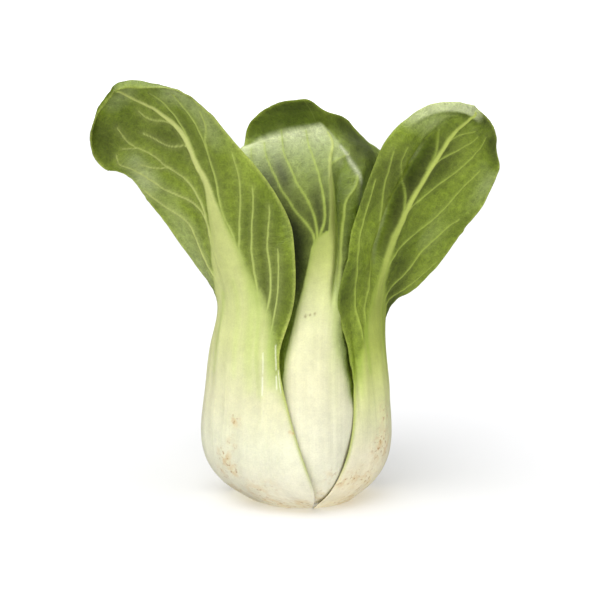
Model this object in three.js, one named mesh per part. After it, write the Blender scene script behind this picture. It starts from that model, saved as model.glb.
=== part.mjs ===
// Bok choy standing on its cut base: a domed stem in the middle and three whorls of leaves round it.
// Millimetres, +Z up, the origin at the middle of the cut base, -Y the front.
import * as THREE from 'three';

// ---- driving dimensions
const edgeThickness = 0.9;    // the blade and the margins of every petiole
const minimumHalfWidth = 0.5; // at the very tip of a blade
const sectionSteps = 4;       // steps across each column when a section is traced

// The stem: radius and height of its outline, from the cut base up to the dome.
const stemProfile = [[11.5, 0], [11, 1.8], [9.6, 3.4], [7.9, 5.4], [6.9, 8], [4.6, 10], [0, 11.2]];
const stemSides = 28;

// A leaf is a row of stations along its midrib. Each station:
//   [side, out, height] of the outer face, in the leaf's own frame (out = away from the middle of the plant)
//   [twist, skew] of the section in degrees: twist about the upright, skew raises its right-hand end
//   left and right half: [width along the section, heading in degrees half way, heading at the margin],
//     a heading above 0 wraps inwards
//   [thickness, half width] of the petiole or midrib
// turn points the leaf round the plant, 0 to the front and 90 to the right. tip is the length of its rounded end.
// rims curl the margin: [share of the length, band in mm, curl in degrees], above 0 outwards.
// pleats push a strip along the leaf outwards: place and width across it as a share of the half width.
const frontLeft = {
  name: 'leaf_front_left', turn: -46, tip: 36, rows: 34, columns: 7,
  stations: [
    [[0, 20.5, 0], [0, 0], [19, 20, 40], [22.5, 24, 48], [5.5, 20]],
    [[0, 33.8, 11], [0, 0], [27, 19, 38], [34, 22, 44], [8, 24]],
    [[1, 38.8, 27], [0, 0], [29, 19, 38], [32, 21, 42], [8, 25]],
    [[2, 38, 46], [0, 0], [27, 18, 38], [25, 18, 36], [7, 22]],
    [[2, 36, 66], [2, 0], [22, 18, 40], [20, 18, 36], [6, 16]],
    [[1.1, 33.8, 83], [6, 0], [18, 20, 45], [25, 15, 32], [5, 10]],
    [[-2.8, 37.5, 102.5], [14, 0], [19, 5, 0], [30, 14, 30], [3.6, 5]],
    [[-2.8, 43.6, 121.8], [20, 0], [26.5, 0, -5], [26.5, 8, 20], [2.7, 3.2]],
    [[-4.7, 50.5, 140.7], [24, 0], [32.5, 0, 0], [16.5, 4, 10], [1.9, 2.2]],
    [[-8, 58.2, 151.5], [28, 0], [38.5, 0, 0], [15.5, 2, 4], [1.5, 1.6]],
    [[-13.5, 66.5, 160], [30, 0], [41, 0, 0], [16, 0, 0], [1.3, 1.4]],
    [[-20, 77, 170], [30, 0], [42.5, 0, 0], [17, 0, 0], [1.2, 1.2]],
  ],
  rims: {
    left: [[0, 0, 0], [0.86, 0, 0], [0.94, 8, 90], [1, 11, 130]],
    right: [[0, 0, 0], [0.8, 0, 0], [0.87, 4, 80], [0.94, 8, 120], [1, 11, 130]],
  },
};
const frontRight = {
  name: 'leaf_front_right', turn: 66, tip: 36, rows: 34, columns: 7,
  stations: [
    [[0, 23, 0], [0, 0], [20.5, 24, 48], [17, 20, 40], [5.5, 18]],
    [[0, 34, 11], [0, 0], [25, 20, 40], [21, 16, 32], [8, 20]],
    [[0, 38, 27], [0, 0], [22.5, 17, 34], [20, 16, 32], [8, 20]],
    [[0, 36.5, 48], [0, 0], [19, 14, 28], [17, 16, 32], [7, 18]],
    [[0, 34.4, 66], [-4, 0], [18, 14, 28], [15.5, 18, 36], [6, 15]],
    [[-0.4, 33.6, 82], [-12, 0], [20, 12, 25], [22.5, 2, 4], [5, 10]],
    [[0.8, 36.3, 93], [-20, 0], [21, 5, 12], [27.5, -2, -4], [4.2, 6.5]],
    [[1.6, 40.4, 105], [-30, 0], [21.5, 4, 8], [29, -4, -8], [3.4, 4.2]],
    [[2, 46.2, 119], [-36, 0], [22, 4, 8], [30, -4, -8], [2.8, 3]],
    [[3.8, 52.7, 130.6], [-40, 0], [24, 4, 8], [30.5, -4, -8], [2.2, 2.4]],
    [[4.4, 59.1, 141], [-42, 0], [25.2, 4, 8], [31, -4, -8], [1.8, 1.9]],
    [[5.1, 65.5, 149], [-44, 0], [24.8, 2, 4], [38, -2, -4], [1.4, 1.5]],
    [[5.4, 74, 153.4], [-44, 0], [24.5, 2, 4], [58, 0, 0], [1.2, 1.3]],
  ],
  rims: {
    left: [[0, 0, 0], [0.7, 0, 0], [0.8, 6, -40], [0.92, 8, -70], [1, 7, -85]],
    right: [[0, 0, 0], [0.92, 0, 0], [0.97, 2, -25], [1, 3, -40]],
  },
  pleats: [{ place: -0.25, width: 0.15, push: -5, from: 90, to: 170, fade: 20 }],
};
const frontMiddle = {
  name: 'leaf_front_middle', turn: 13, tip: 30, rows: 32, columns: 6,
  stations: [
    [[2, 22.5, 2], [0, 0], [9, 26, 52], [9, 26, 52], [5.5, 12]],
    [[1, 32.6, 10], [0, 0], [14, 24, 48], [11.5, 33, 66], [7, 12]],
    [[0.1, 39.2, 28], [0, 0], [18, 25, 50], [17.2, 29.5, 59], [7, 16]],
    [[0.4, 38.6, 50], [0, 0], [18, 25, 50], [17.7, 29, 58], [6.5, 15]],
    [[1.3, 34.9, 62], [0, 0], [18, 24, 48], [16.3, 30.5, 61], [6, 13]],
    [[4.4, 28.4, 82], [0, 0], [20, 22, 44], [16, 30, 60], [5, 9]],
    [[7.2, 25.4, 97], [0, 0], [25, 20, 40], [20, 30, 60], [4, 6]],
    [[7.5, 24, 113], [0, 0], [32, 10, 20], [24, 32, 62], [3.2, 4]],
    [[7.8, 21.6, 127], [0, 4], [37, 3, 6], [28, 36, 56], [2.6, 3]],
    [[8.1, 16.6, 135.5], [0, 6], [37.5, 1, 2], [37.5, 33, 48], [2.2, 2.5]],
    [[8, 11, 142], [0, 2], [37, 0, 0], [39.5, 28, 42], [1.9, 2]],
    [[6.6, 7.4, 147.5], [0, -10], [34.5, 0, 0], [20.5, 28, 42], [1.6, 1.8]],
    [[3.5, 9.8, 153.5], [0, -24], [34, 0, 0], [8, 20, 30], [1.4, 1.5]],
    [[-1, 13.2, 159], [0, -35], [33, 0, 0], [9, 10, 20], [1.2, 1.2]],
  ],
  pleats: [
    { place: 0.15, width: 0.09, push: -2.5, from: 84, to: 150, fade: 16 },
    { place: 0.42, width: 0.12, push: 2.2, from: 104, to: 160, fade: 18 },
  ],
};
// Leaves that are the same on both sides: [out, height, half width, heading half way, heading at the margin,
// thickness, half width of the rib].
const plainLeaves = [
  { name: 'leaf_back', turn: -150, tip: 30, rows: 26, columns: 5, table: [
    [17.5, 0, 18, 28, 56, 5.5, 16], [32, 11, 24, 19, 38, 8, 20], [38, 27, 26, 20, 40, 8, 22],
    [36.5, 48, 23, 20, 40, 7, 19], [34, 68, 19, 20, 40, 5.5, 13], [35, 86, 22, 12, 24, 4, 6.5],
    [40, 104, 28, 4, 8, 3, 4], [49, 118, 30, 0, 0, 2.2, 2.5], [60, 128, 28, -4, -8, 1.5, 1.6],
    [69, 131, 23, -4, -8, 1.2, 1.2]] },
  { name: 'leaf_side_left', turn: -98, tip: 26, rows: 24, columns: 5, table: [
    [17, 3, 8, 20, 40, 6, 12], [33, 26, 16, 22, 44, 7, 15], [32.5, 48, 17, 22, 44, 6, 14],
    [29.5, 66, 18, 20, 40, 5, 10], [27.5, 84, 22, 16, 32, 4, 6], [29, 102, 25, 10, 20, 3, 3.6],
    [34, 118, 24, 4, 8, 2, 2.2], [41, 130, 20, 0, 0, 1.2, 1.3]] },
  { name: 'leaf_back_right', turn: 133, tip: 26, rows: 24, columns: 5, table: [
    [17, 0, 5, 15, 30, 4.6, 10], [24.5, 7, 10, 20, 40, 6, 12], [33, 26, 16, 22, 44, 7, 15], [32.5, 48, 17, 22, 44, 6, 14],
    [29.5, 66, 18, 20, 40, 5, 10], [27.5, 84, 23, 16, 32, 4, 6], [29, 102, 26, 10, 20, 3, 3.6],
    [34, 118, 25, 4, 8, 2, 2.2], [42, 129, 21, 0, 0, 1.2, 1.3]] },
  { name: 'inner_leaf_back', turn: -172, tip: 22, rows: 20, columns: 4, table: [
    [13, 6, 7, 22, 44, 5, 10], [24, 26, 14, 26, 52, 6, 12], [24, 46, 14, 26, 52, 5, 11],
    [20.5, 66, 14, 24, 48, 4, 8], [17, 84, 16, 20, 40, 3, 4.5], [17, 102, 18, 14, 28, 2, 2.6],
    [21, 118, 16, 6, 12, 1.2, 1.3]] },
  { name: 'inner_leaf_left', turn: -40, tip: 20, rows: 20, columns: 4, table: [
    [13, 6, 7, 22, 44, 5, 10], [24, 26, 13, 26, 52, 6, 11], [24, 46, 13, 26, 52, 5, 10],
    [20.5, 64, 13, 24, 48, 4, 7], [16, 80, 16, 18, 36, 3, 4.2], [14, 96, 18, 12, 24, 2, 2.4],
    [15.5, 110, 15, 6, 12, 1.2, 1.3]] },
  { name: 'inner_leaf_right', turn: 74, tip: 22, rows: 20, columns: 4, table: [
    [13, 6, 7, 22, 44, 5, 10], [24, 26, 13, 28, 56, 6, 12], [24, 46, 13, 28, 56, 5, 11],
    [20.5, 65, 13, 26, 52, 4, 8], [17, 82, 15, 20, 40, 3, 4.5], [17, 99, 16, 14, 28, 2, 2.6],
    [20, 114, 14, 6, 12, 1.2, 1.3]] },
  { name: 'heart_leaf_front', turn: 20, tip: 13, rows: 16, columns: 4, table: [
    [7, 12, 5, 25, 50, 3.5, 6], [12, 28, 8, 28, 56, 4, 7], [11.5, 44, 8.5, 26, 52, 3.2, 5],
    [8.5, 60, 10, 20, 40, 2.2, 3], [6.5, 76, 10, 12, 24, 1.2, 1.3]] },
  { name: 'heart_leaf_back', turn: 200, tip: 12, rows: 16, columns: 4, table: [
    [7, 12, 5, 25, 50, 3.5, 6], [12, 28, 8, 28, 56, 4, 7], [11.5, 44, 8.5, 26, 52, 3.2, 5],
    [9, 58, 9.5, 20, 40, 2.2, 3], [8, 70, 9, 12, 24, 1.2, 1.3]] },
];

const bladeGreen = 0x6f8236;
const petioleWhite = 0xe4e8b8;
const stemCream = 0xe5e1ca;

// ---- small helpers
const radians = (degrees) => degrees * Math.PI / 180;
const clamp = (value, low, high) => Math.min(high, Math.max(low, value));
const smooth = (low, high, value) => { const t = clamp((value - low) / (high - low), 0, 1); return t * t * (3 - 2 * t); };
const add = (a, b, scale = 1) => a.map((value, i) => value + b[i] * scale);
const dot = (a, b) => a[0] * b[0] + a[1] * b[1] + a[2] * b[2];
const unit = (a) => { const size = Math.hypot(...a); return a.map((value) => value / size); };
const cross = (a, b) => [a[1] * b[2] - a[2] * b[1], a[2] * b[0] - a[0] * b[2], a[0] * b[1] - a[1] * b[0]];

// A smooth curve through values at rising knots, its ends straight.
function curveThrough(knots, values) {
  const count = knots.length;
  const gap = (i) => knots[i + 1] - knots[i];
  const second = new Array(count).fill(0);
  const lower = new Array(count).fill(0);
  for (let i = 1; i < count - 1; i += 1) { // tridiagonal sweep
    const jump = 6 * ((values[i + 1] - values[i]) / gap(i) - (values[i] - values[i - 1]) / gap(i - 1));
    const pivot = 2 * (gap(i - 1) + gap(i)) - gap(i - 1) * lower[i - 1];
    lower[i] = gap(i) / pivot;
    second[i] = (jump - gap(i - 1) * second[i - 1]) / pivot;
  }
  for (let i = count - 2; i > 0; i -= 1) second[i] -= lower[i] * second[i + 1];
  return (at) => {
    const x = clamp(at, knots[0], knots[count - 1]);
    let i = 0;
    while (i < count - 2 && x >= knots[i + 1]) i += 1;
    const d = x - knots[i];
    const e = knots[i + 1] - x;
    const h = gap(i);
    return (second[i] * e ** 3 + second[i + 1] * d ** 3) / (6 * h)
      + (values[i] / h - second[i] * h / 6) * e + (values[i + 1] / h - second[i + 1] * h / 6) * d;
  };
}

// Straight lines between [at, ...values] rows.
function between(rows, at) {
  let i = 0;
  while (i < rows.length - 2 && at > rows[i + 1][0]) i += 1;
  const t = clamp((at - rows[i][0]) / (rows[i + 1][0] - rows[i][0]), 0, 1);
  return rows[i].slice(1).map((value, k) => value + (rows[i + 1][k + 1] - value) * t);
}

const plainStations = (table) => table.map(([out, height, width, half, margin, thick, rib]) => [
  [0, out, height], [0, 0], [width, half, margin], [width, half, margin], [thick, rib]]);

// ---- the leaf
function leafSurface(leaf) {
  const turn = radians(leaf.turn);
  const outward = [Math.sin(turn), -Math.cos(turn), 0];
  const sideways = [Math.cos(turn), Math.sin(turn), 0];
  const spine = leaf.stations.map(([[side, out, height]]) => add(add([0, 0, height], outward, out), sideways, side));
  const knots = [0];
  for (let i = 1; i < spine.length; i += 1) knots.push(knots[i - 1] + Math.hypot(...add(spine[i], spine[i - 1], -1)));
  const last = knots[knots.length - 1];
  const track = [0, 1, 2].map((k) => curveThrough(knots, spine.map((point) => point[k])));
  const place = (u) => track.map((curve) => curve(u));
  const column = (pick) => curveThrough(knots, leaf.stations.map(pick));
  const twist = column((s) => s[1][0]);
  const skew = column((s) => s[1][1]);
  const halves = [2, 3].map((k) => [0, 1, 2].map((j) => column((s) => s[k][j])));
  const thick = column((s) => s[4][0]);
  const ribHalf = column((s) => s[4][1]);

  // length along the spine against its knots
  const steps = 600;
  const lengths = [0];
  for (let i = 1; i <= steps; i += 1) {
    lengths.push(lengths[i - 1] + Math.hypot(...add(place(last * i / steps), place(last * (i - 1) / steps), -1)));
  }
  const length = lengths[steps];
  const knotAt = (y) => {
    let i = 0;
    while (i < steps - 1 && lengths[i + 1] < y) i += 1;
    return last * (i + clamp((y - lengths[i]) / (lengths[i + 1] - lengths[i]), 0, 1)) / steps;
  };
  const halfWidth = (side, y, u) => {
    const end = clamp((y - (length - leaf.tip)) / leaf.tip, 0, 1);
    return Math.max(halves[side][0](u) * Math.sqrt(Math.max(1 - end * end, 0)), minimumHalfWidth);
  };

  // the flat outline, for the curled margins
  const outline = [];
  if (leaf.rims) {
    for (const side of [0, 1]) {
      const line = [];
      for (let i = 0; i <= 240; i += 1) {
        const y = i < 160 ? (length - leaf.tip) * i / 160 : length - leaf.tip + leaf.tip * Math.sin(radians(88 * (i - 160) / 80));
        line.push([(side ? 1 : -1) * halfWidth(side, y, knotAt(y)), y,
          ...between(leaf.rims[side ? 'right' : 'left'], y / length)]);
      }
      outline.push(...(side ? line.reverse() : line));
    }
  }
  const nearestOutline = (x, y) => {
    let best = [Infinity];
    for (let i = 0; i < outline.length - 1; i += 1) {
      const [ax, ay, bandA, curlA] = outline[i];
      const [bx, by, bandB, curlB] = outline[i + 1];
      const run = [bx - ax, by - ay];
      const size = Math.hypot(...run);
      if (size < 1e-6) continue;
      const t = clamp(((x - ax) * run[0] + (y - ay) * run[1]) / (size * size), 0, 1);
      const away = Math.hypot(ax + run[0] * t - x, ay + run[1] * t - y);
      if (away < best[0]) best = [away, -run[1] / size, run[0] / size, bandA + (bandB - bandA) * t, curlA + (curlB - curlA) * t];
    }
    return best;
  };

  const tipRows = Math.max(6, Math.round(leaf.rows * 0.3));
  const outer = [];
  const inner = [];
  for (let row = 0; row < leaf.rows; row += 1) {
    const bodyRows = leaf.rows - tipRows;
    const y = row < bodyRows ? (length - leaf.tip) * row / bodyRows
      : length - leaf.tip + leaf.tip * Math.sin(radians(87.5 * (row - bodyRows) / (tipRows - 1)));
    const u = knotAt(y);
    const centre = place(u);
    let along = unit(add(place(Math.min(u + 0.4, last)), place(Math.max(u - 0.4, 0)), -1));
    const level = 1 - smooth(30, 90, y); // petiole sections stay level, blade sections lie across the midrib
    along = unit(add(along.map((value) => value * (1 - level)), [0, 0, 1], level));
    const face = turn + radians(twist(u));
    const tilt = radians(skew(u));
    let across = [Math.cos(face), Math.sin(face), 0];
    across = unit(add(across, along, -dot(across, along)));
    const facing = cross(across, along);
    across = add(across.map((value) => value * Math.cos(tilt)), along, Math.sin(tilt));
    const lengthways = cross(facing, across);
    const ribThick = Math.max(thick(u) - edgeThickness, 0);
    const ribWide = Math.max(ribHalf(u), 0.6);
    const share = 0.5 - 0.4 * clamp((thick(u) - 1.5) / 4.5, 0, 1);
    const outerRow = [];
    const innerRow = [];
    for (const side of [0, 1]) {
      const sign = side ? 1 : -1;
      const width = halfWidth(side, y, u);
      const half = radians(halves[side][1](u));
      const margin = radians(halves[side][2](u));
      const count = leaf.columns * sectionSteps;
      let reach = 0;
      let depth = 0;
      let before = 0;
      for (let i = 0; i <= count; i += 1) {
        const q = i / count;
        const heading = q * (4 * half - margin) + q * q * (2 * margin - 4 * half);
        if (i > 0) {
          reach += (Math.cos(heading) + Math.cos(before)) / 2 * width / count;
          depth += (Math.sin(heading) + Math.sin(before)) / 2 * width / count;
        }
        before = heading;
        if (i % sectionSteps || (side && i === 0)) continue;
        let point = add(add(centre, across, sign * reach), facing, -depth);
        const normal = add(facing.map((value) => value * Math.cos(heading)), across, sign * Math.sin(heading));
        const onward = add(across.map((value) => value * Math.cos(heading)), facing, -sign * Math.sin(heading));
        const x = sign * width * q;
        const bulge = ribThick * Math.max(1 - (x / ribWide) ** 2, 0) ** 1.5;
        let push = bulge * share;
        for (const pleat of leaf.pleats ?? []) {
          const fade = smooth(pleat.from, pleat.from + pleat.fade, y) * (1 - smooth(pleat.to - pleat.fade, pleat.to, y));
          push += pleat.push * fade * Math.exp(-(((sign * q - pleat.place) / pleat.width) ** 2));
        }
        point = add(point, normal, push);
        let through = normal;
        if (leaf.rims) {
          const [away, outX, outY, band, curl] = nearestOutline(x, y);
          const curled = band - away;
          if (curled > 0 && Math.abs(curl) > 0.5) {
            const radius = band / radians(curl);
            const angle = curled / radius;
            const outwards = add(onward.map((value) => value * outX), lengthways, outY);
            point = add(point, outwards, radius * Math.sin(angle) - curled);
            point = add(point, normal, radius * (1 - Math.cos(angle)));
            through = add(normal.map((value) => value * Math.cos(angle)), outwards, -Math.sin(angle));
          }
        }
        outerRow.push({ q: sign * q, point });
        innerRow.push({ q: sign * q, point: add(point, through, -(edgeThickness + bulge)) });
      }
    }
    outer.push(outerRow.sort((a, b) => a.q - b.q).map((item) => item.point));
    inner.push(innerRow.sort((a, b) => a.q - b.q).map((item) => item.point));
  }
  return { outer, inner };
}

// One closed body from the two faces of a leaf, split into triangles alike on both.
function leafGeometry(leaf) {
  const { outer, inner } = leafSurface(leaf);
  const rows = outer.length;
  const wide = outer[0].length;
  const positions = [...outer.flat(), ...inner.flat()].flat();
  const at = (row, i) => row * wide + i;
  const behind = rows * wide;
  const index = [];
  for (let row = 0; row < rows - 1; row += 1) {
    for (let i = 0; i < wide - 1; i += 1) {
      const corner = [at(row, i), at(row, i + 1), at(row + 1, i + 1), at(row + 1, i)];
      const cuts = i < (wide - 1) / 2 ? [[0, 1, 2], [0, 2, 3]] : [[0, 1, 3], [1, 2, 3]];
      for (const [a, b, c] of cuts) {
        index.push(corner[a], corner[b], corner[c]);
        index.push(corner[a] + behind, corner[c] + behind, corner[b] + behind);
      }
    }
  }
  const ring = [];
  for (let i = 0; i < wide - 1; i += 1) ring.push(at(0, i));
  for (let row = 0; row < rows - 1; row += 1) ring.push(at(row, wide - 1));
  for (let i = wide - 1; i > 0; i -= 1) ring.push(at(rows - 1, i));
  for (let row = rows - 1; row > 0; row -= 1) ring.push(at(row, 0));
  ring.forEach((from, i) => {
    const to = ring[(i + 1) % ring.length];
    index.push(from, from + behind, to + behind, from, to + behind, to);
  });
  return closedGeometry(positions, index);
}

// The stem: its outline turned about Z, closed by a flat disc underneath and a point on top.
function stemGeometry() {
  const positions = [];
  const index = [];
  const rings = stemProfile.slice(0, -1);
  for (const [radius, height] of rings) {
    for (let i = 0; i < stemSides; i += 1) {
      const angle = 2 * Math.PI * i / stemSides;
      positions.push(radius * Math.cos(angle), radius * Math.sin(angle), height);
    }
  }
  const top = positions.length / 3;
  positions.push(0, 0, stemProfile[stemProfile.length - 1][1]);
  for (let ring = 0; ring < rings.length - 1; ring += 1) {
    for (let i = 0; i < stemSides; i += 1) {
      const next = (i + 1) % stemSides;
      const a = ring * stemSides + i;
      const b = ring * stemSides + next;
      index.push(a, b, b + stemSides, a, b + stemSides, a + stemSides);
    }
  }
  for (let i = 0; i < stemSides; i += 1) {
    const a = (rings.length - 1) * stemSides;
    index.push(a + i, a + (i + 1) % stemSides, top);
    if (i > 0 && i < stemSides - 1) index.push(0, i + 1, i);
  }
  return closedGeometry(positions, index);
}

function closedGeometry(positions, index) {
  let volume = 0;
  const point = (i) => positions.slice(i * 3, i * 3 + 3);
  for (let i = 0; i < index.length; i += 3) {
    volume += dot(point(index[i]), cross(point(index[i + 1]), point(index[i + 2])));
  }
  if (volume < 0) for (let i = 0; i < index.length; i += 3) [index[i], index[i + 1]] = [index[i + 1], index[i]];
  const geometry = new THREE.BufferGeometry();
  geometry.setAttribute('position', new THREE.Float32BufferAttribute(positions, 3));
  geometry.setIndex(index);
  geometry.computeVertexNormals();
  return geometry;
}

function named(name, geometry, color, roughness) {
  const mesh = new THREE.Mesh(geometry, new THREE.MeshStandardMaterial({ color, roughness, metalness: 0 }));
  mesh.name = name;
  return mesh;
}

const group = new THREE.Group();
group.name = 'bok_choy';
group.add(named('stem_base', stemGeometry(), stemCream, 0.6));
for (const leaf of [frontLeft, frontRight, frontMiddle]) group.add(named(leaf.name, leafGeometry(leaf), bladeGreen, 0.5));
for (const plain of plainLeaves) {
  const leaf = { ...plain, stations: plainStations(plain.table) };
  group.add(named(leaf.name, leafGeometry(leaf), plain.name.startsWith('heart') ? petioleWhite : bladeGreen, 0.5));
}

export default group;
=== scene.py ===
# Bok choy standing on its cut base, built from the same leaf stations as its CAD solids.
# The leaves are worked out in millimetres and placed in metres: +Z up, -Y the front.
import math

import bpy
import numpy as np
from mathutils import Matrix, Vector


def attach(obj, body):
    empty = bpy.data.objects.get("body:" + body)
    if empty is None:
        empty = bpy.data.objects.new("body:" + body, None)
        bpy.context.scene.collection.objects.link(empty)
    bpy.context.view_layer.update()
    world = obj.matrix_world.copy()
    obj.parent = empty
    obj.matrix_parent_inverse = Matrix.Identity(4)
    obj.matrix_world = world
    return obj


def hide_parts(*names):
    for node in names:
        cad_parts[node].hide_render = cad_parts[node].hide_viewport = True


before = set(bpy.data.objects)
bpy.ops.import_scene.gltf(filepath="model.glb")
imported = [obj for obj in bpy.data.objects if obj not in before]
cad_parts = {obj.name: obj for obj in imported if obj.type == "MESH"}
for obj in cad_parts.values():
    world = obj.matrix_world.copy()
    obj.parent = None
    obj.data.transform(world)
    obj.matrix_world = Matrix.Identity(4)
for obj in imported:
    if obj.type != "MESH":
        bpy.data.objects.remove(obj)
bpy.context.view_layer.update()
print("frame loaded")

mm = 0.001

# shape helpers

def smooth(low, high, value):
    t = np.clip((np.asarray(value, float) - low) / (high - low), 0, 1)
    return t * t * (3 - 2 * t)


def unit(vectors):
    return vectors / np.maximum(np.linalg.norm(vectors, axis=-1, keepdims=True), 1e-12)


def runLength(points):
    # how far along a line of points each of them is
    return np.concatenate([[0], np.cumsum(np.linalg.norm(np.diff(points, axis=0), axis=1))])


def lookUp(rows, at, column=1):
    rows = np.array(rows, float)
    return np.interp(at, rows[:, 0], rows[:, column])


def curveThrough(knots, values):
    # a smooth curve through values at rising knots, its ends straight
    knots, values = np.asarray(knots, float), np.asarray(values, float)
    count, gap = len(knots), np.diff(knots)
    system, jump = np.eye(count), np.zeros(count)
    for i in range(1, count - 1):
        system[i, i - 1:i + 2] = gap[i - 1], 2 * (gap[i - 1] + gap[i]), gap[i]
        jump[i] = 6 * ((values[i + 1] - values[i]) / gap[i] - (values[i] - values[i - 1]) / gap[i - 1])
    second = np.linalg.solve(system, jump)

    def at(x):
        x = np.clip(x, knots[0], knots[-1])
        i = np.clip(np.searchsorted(knots, x, side="right") - 1, 0, count - 2)
        d, e, h = x - knots[i], knots[i + 1] - x, gap[i]
        return ((second[i] * e ** 3 + second[i + 1] * d ** 3) / (6 * h)
                + (values[i] / h - second[i] * h / 6) * e + (values[i + 1] / h - second[i + 1] * h / 6) * d)
    return at


def rumple(seed, waves, shortest, longest):
    # soft unevenness about 0, within about 1, over any number of coordinates in mm
    draw = np.random.default_rng(seed)
    lengths = draw.uniform(shortest, longest, waves)
    angles, phases = draw.uniform(0, 2 * math.pi, waves), draw.uniform(0, 2 * math.pi, waves)

    def at(x, y=0.0):
        total = 0.0
        for length, angle, phase in zip(lengths, angles, phases):
            total = total + np.sin(2 * math.pi * (x * math.cos(angle) + y * math.sin(angle)) / length + phase)
        return total / math.sqrt(waves)
    return at


def nearestOnLines(points, lines, reach=None):
    # distance from each (x, y) point to polylines, with the values carried along them
    # lines: arrays of rows x, y, value...; returns distance, direction to the line, values
    best = np.full(len(points), 1e9)
    toward = np.zeros((len(points), 2))
    carried = np.zeros((len(points), lines[0].shape[1] - 2))
    for line in lines:
        for a, b in zip(line[:-1], line[1:]):
            run = b[:2] - a[:2]
            size = run @ run
            if size < 1e-12:
                continue
            near = np.arange(len(points))
            if reach is not None:
                low, high = np.minimum(a[:2], b[:2]) - reach, np.maximum(a[:2], b[:2]) + reach
                near = np.flatnonzero(((points >= low) & (points <= high)).all(1))
                if not len(near):
                    continue
            t = np.clip(((points[near] - a[:2]) @ run) / size, 0, 1)
            away = a[:2] + t[:, None] * run - points[near]
            distance = np.hypot(away[:, 0], away[:, 1])
            closer = distance < best[near]
            hit = near[closer]
            best[hit] = distance[closer]
            toward[hit] = (-run[1], run[0]) / np.sqrt(size)
            carried[hit] = a[2:] + t[closer, None] * (b[2:] - a[2:])
    return best, toward, carried


leastHalfWidth = 0.5  # mm, at the very tip
leastCurl = 0.0087  # radians: a margin that curls less stays flat
levelUpTo = [30, 90]  # mm: the sections turn from level to square across the midrib between these


def plainStations(table):
    return [[[0, out, height], [0, 0], [width, half, margin], [width, half, margin], [thick, rib]]
            for out, height, width, half, margin, thick, rib in table]


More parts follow.
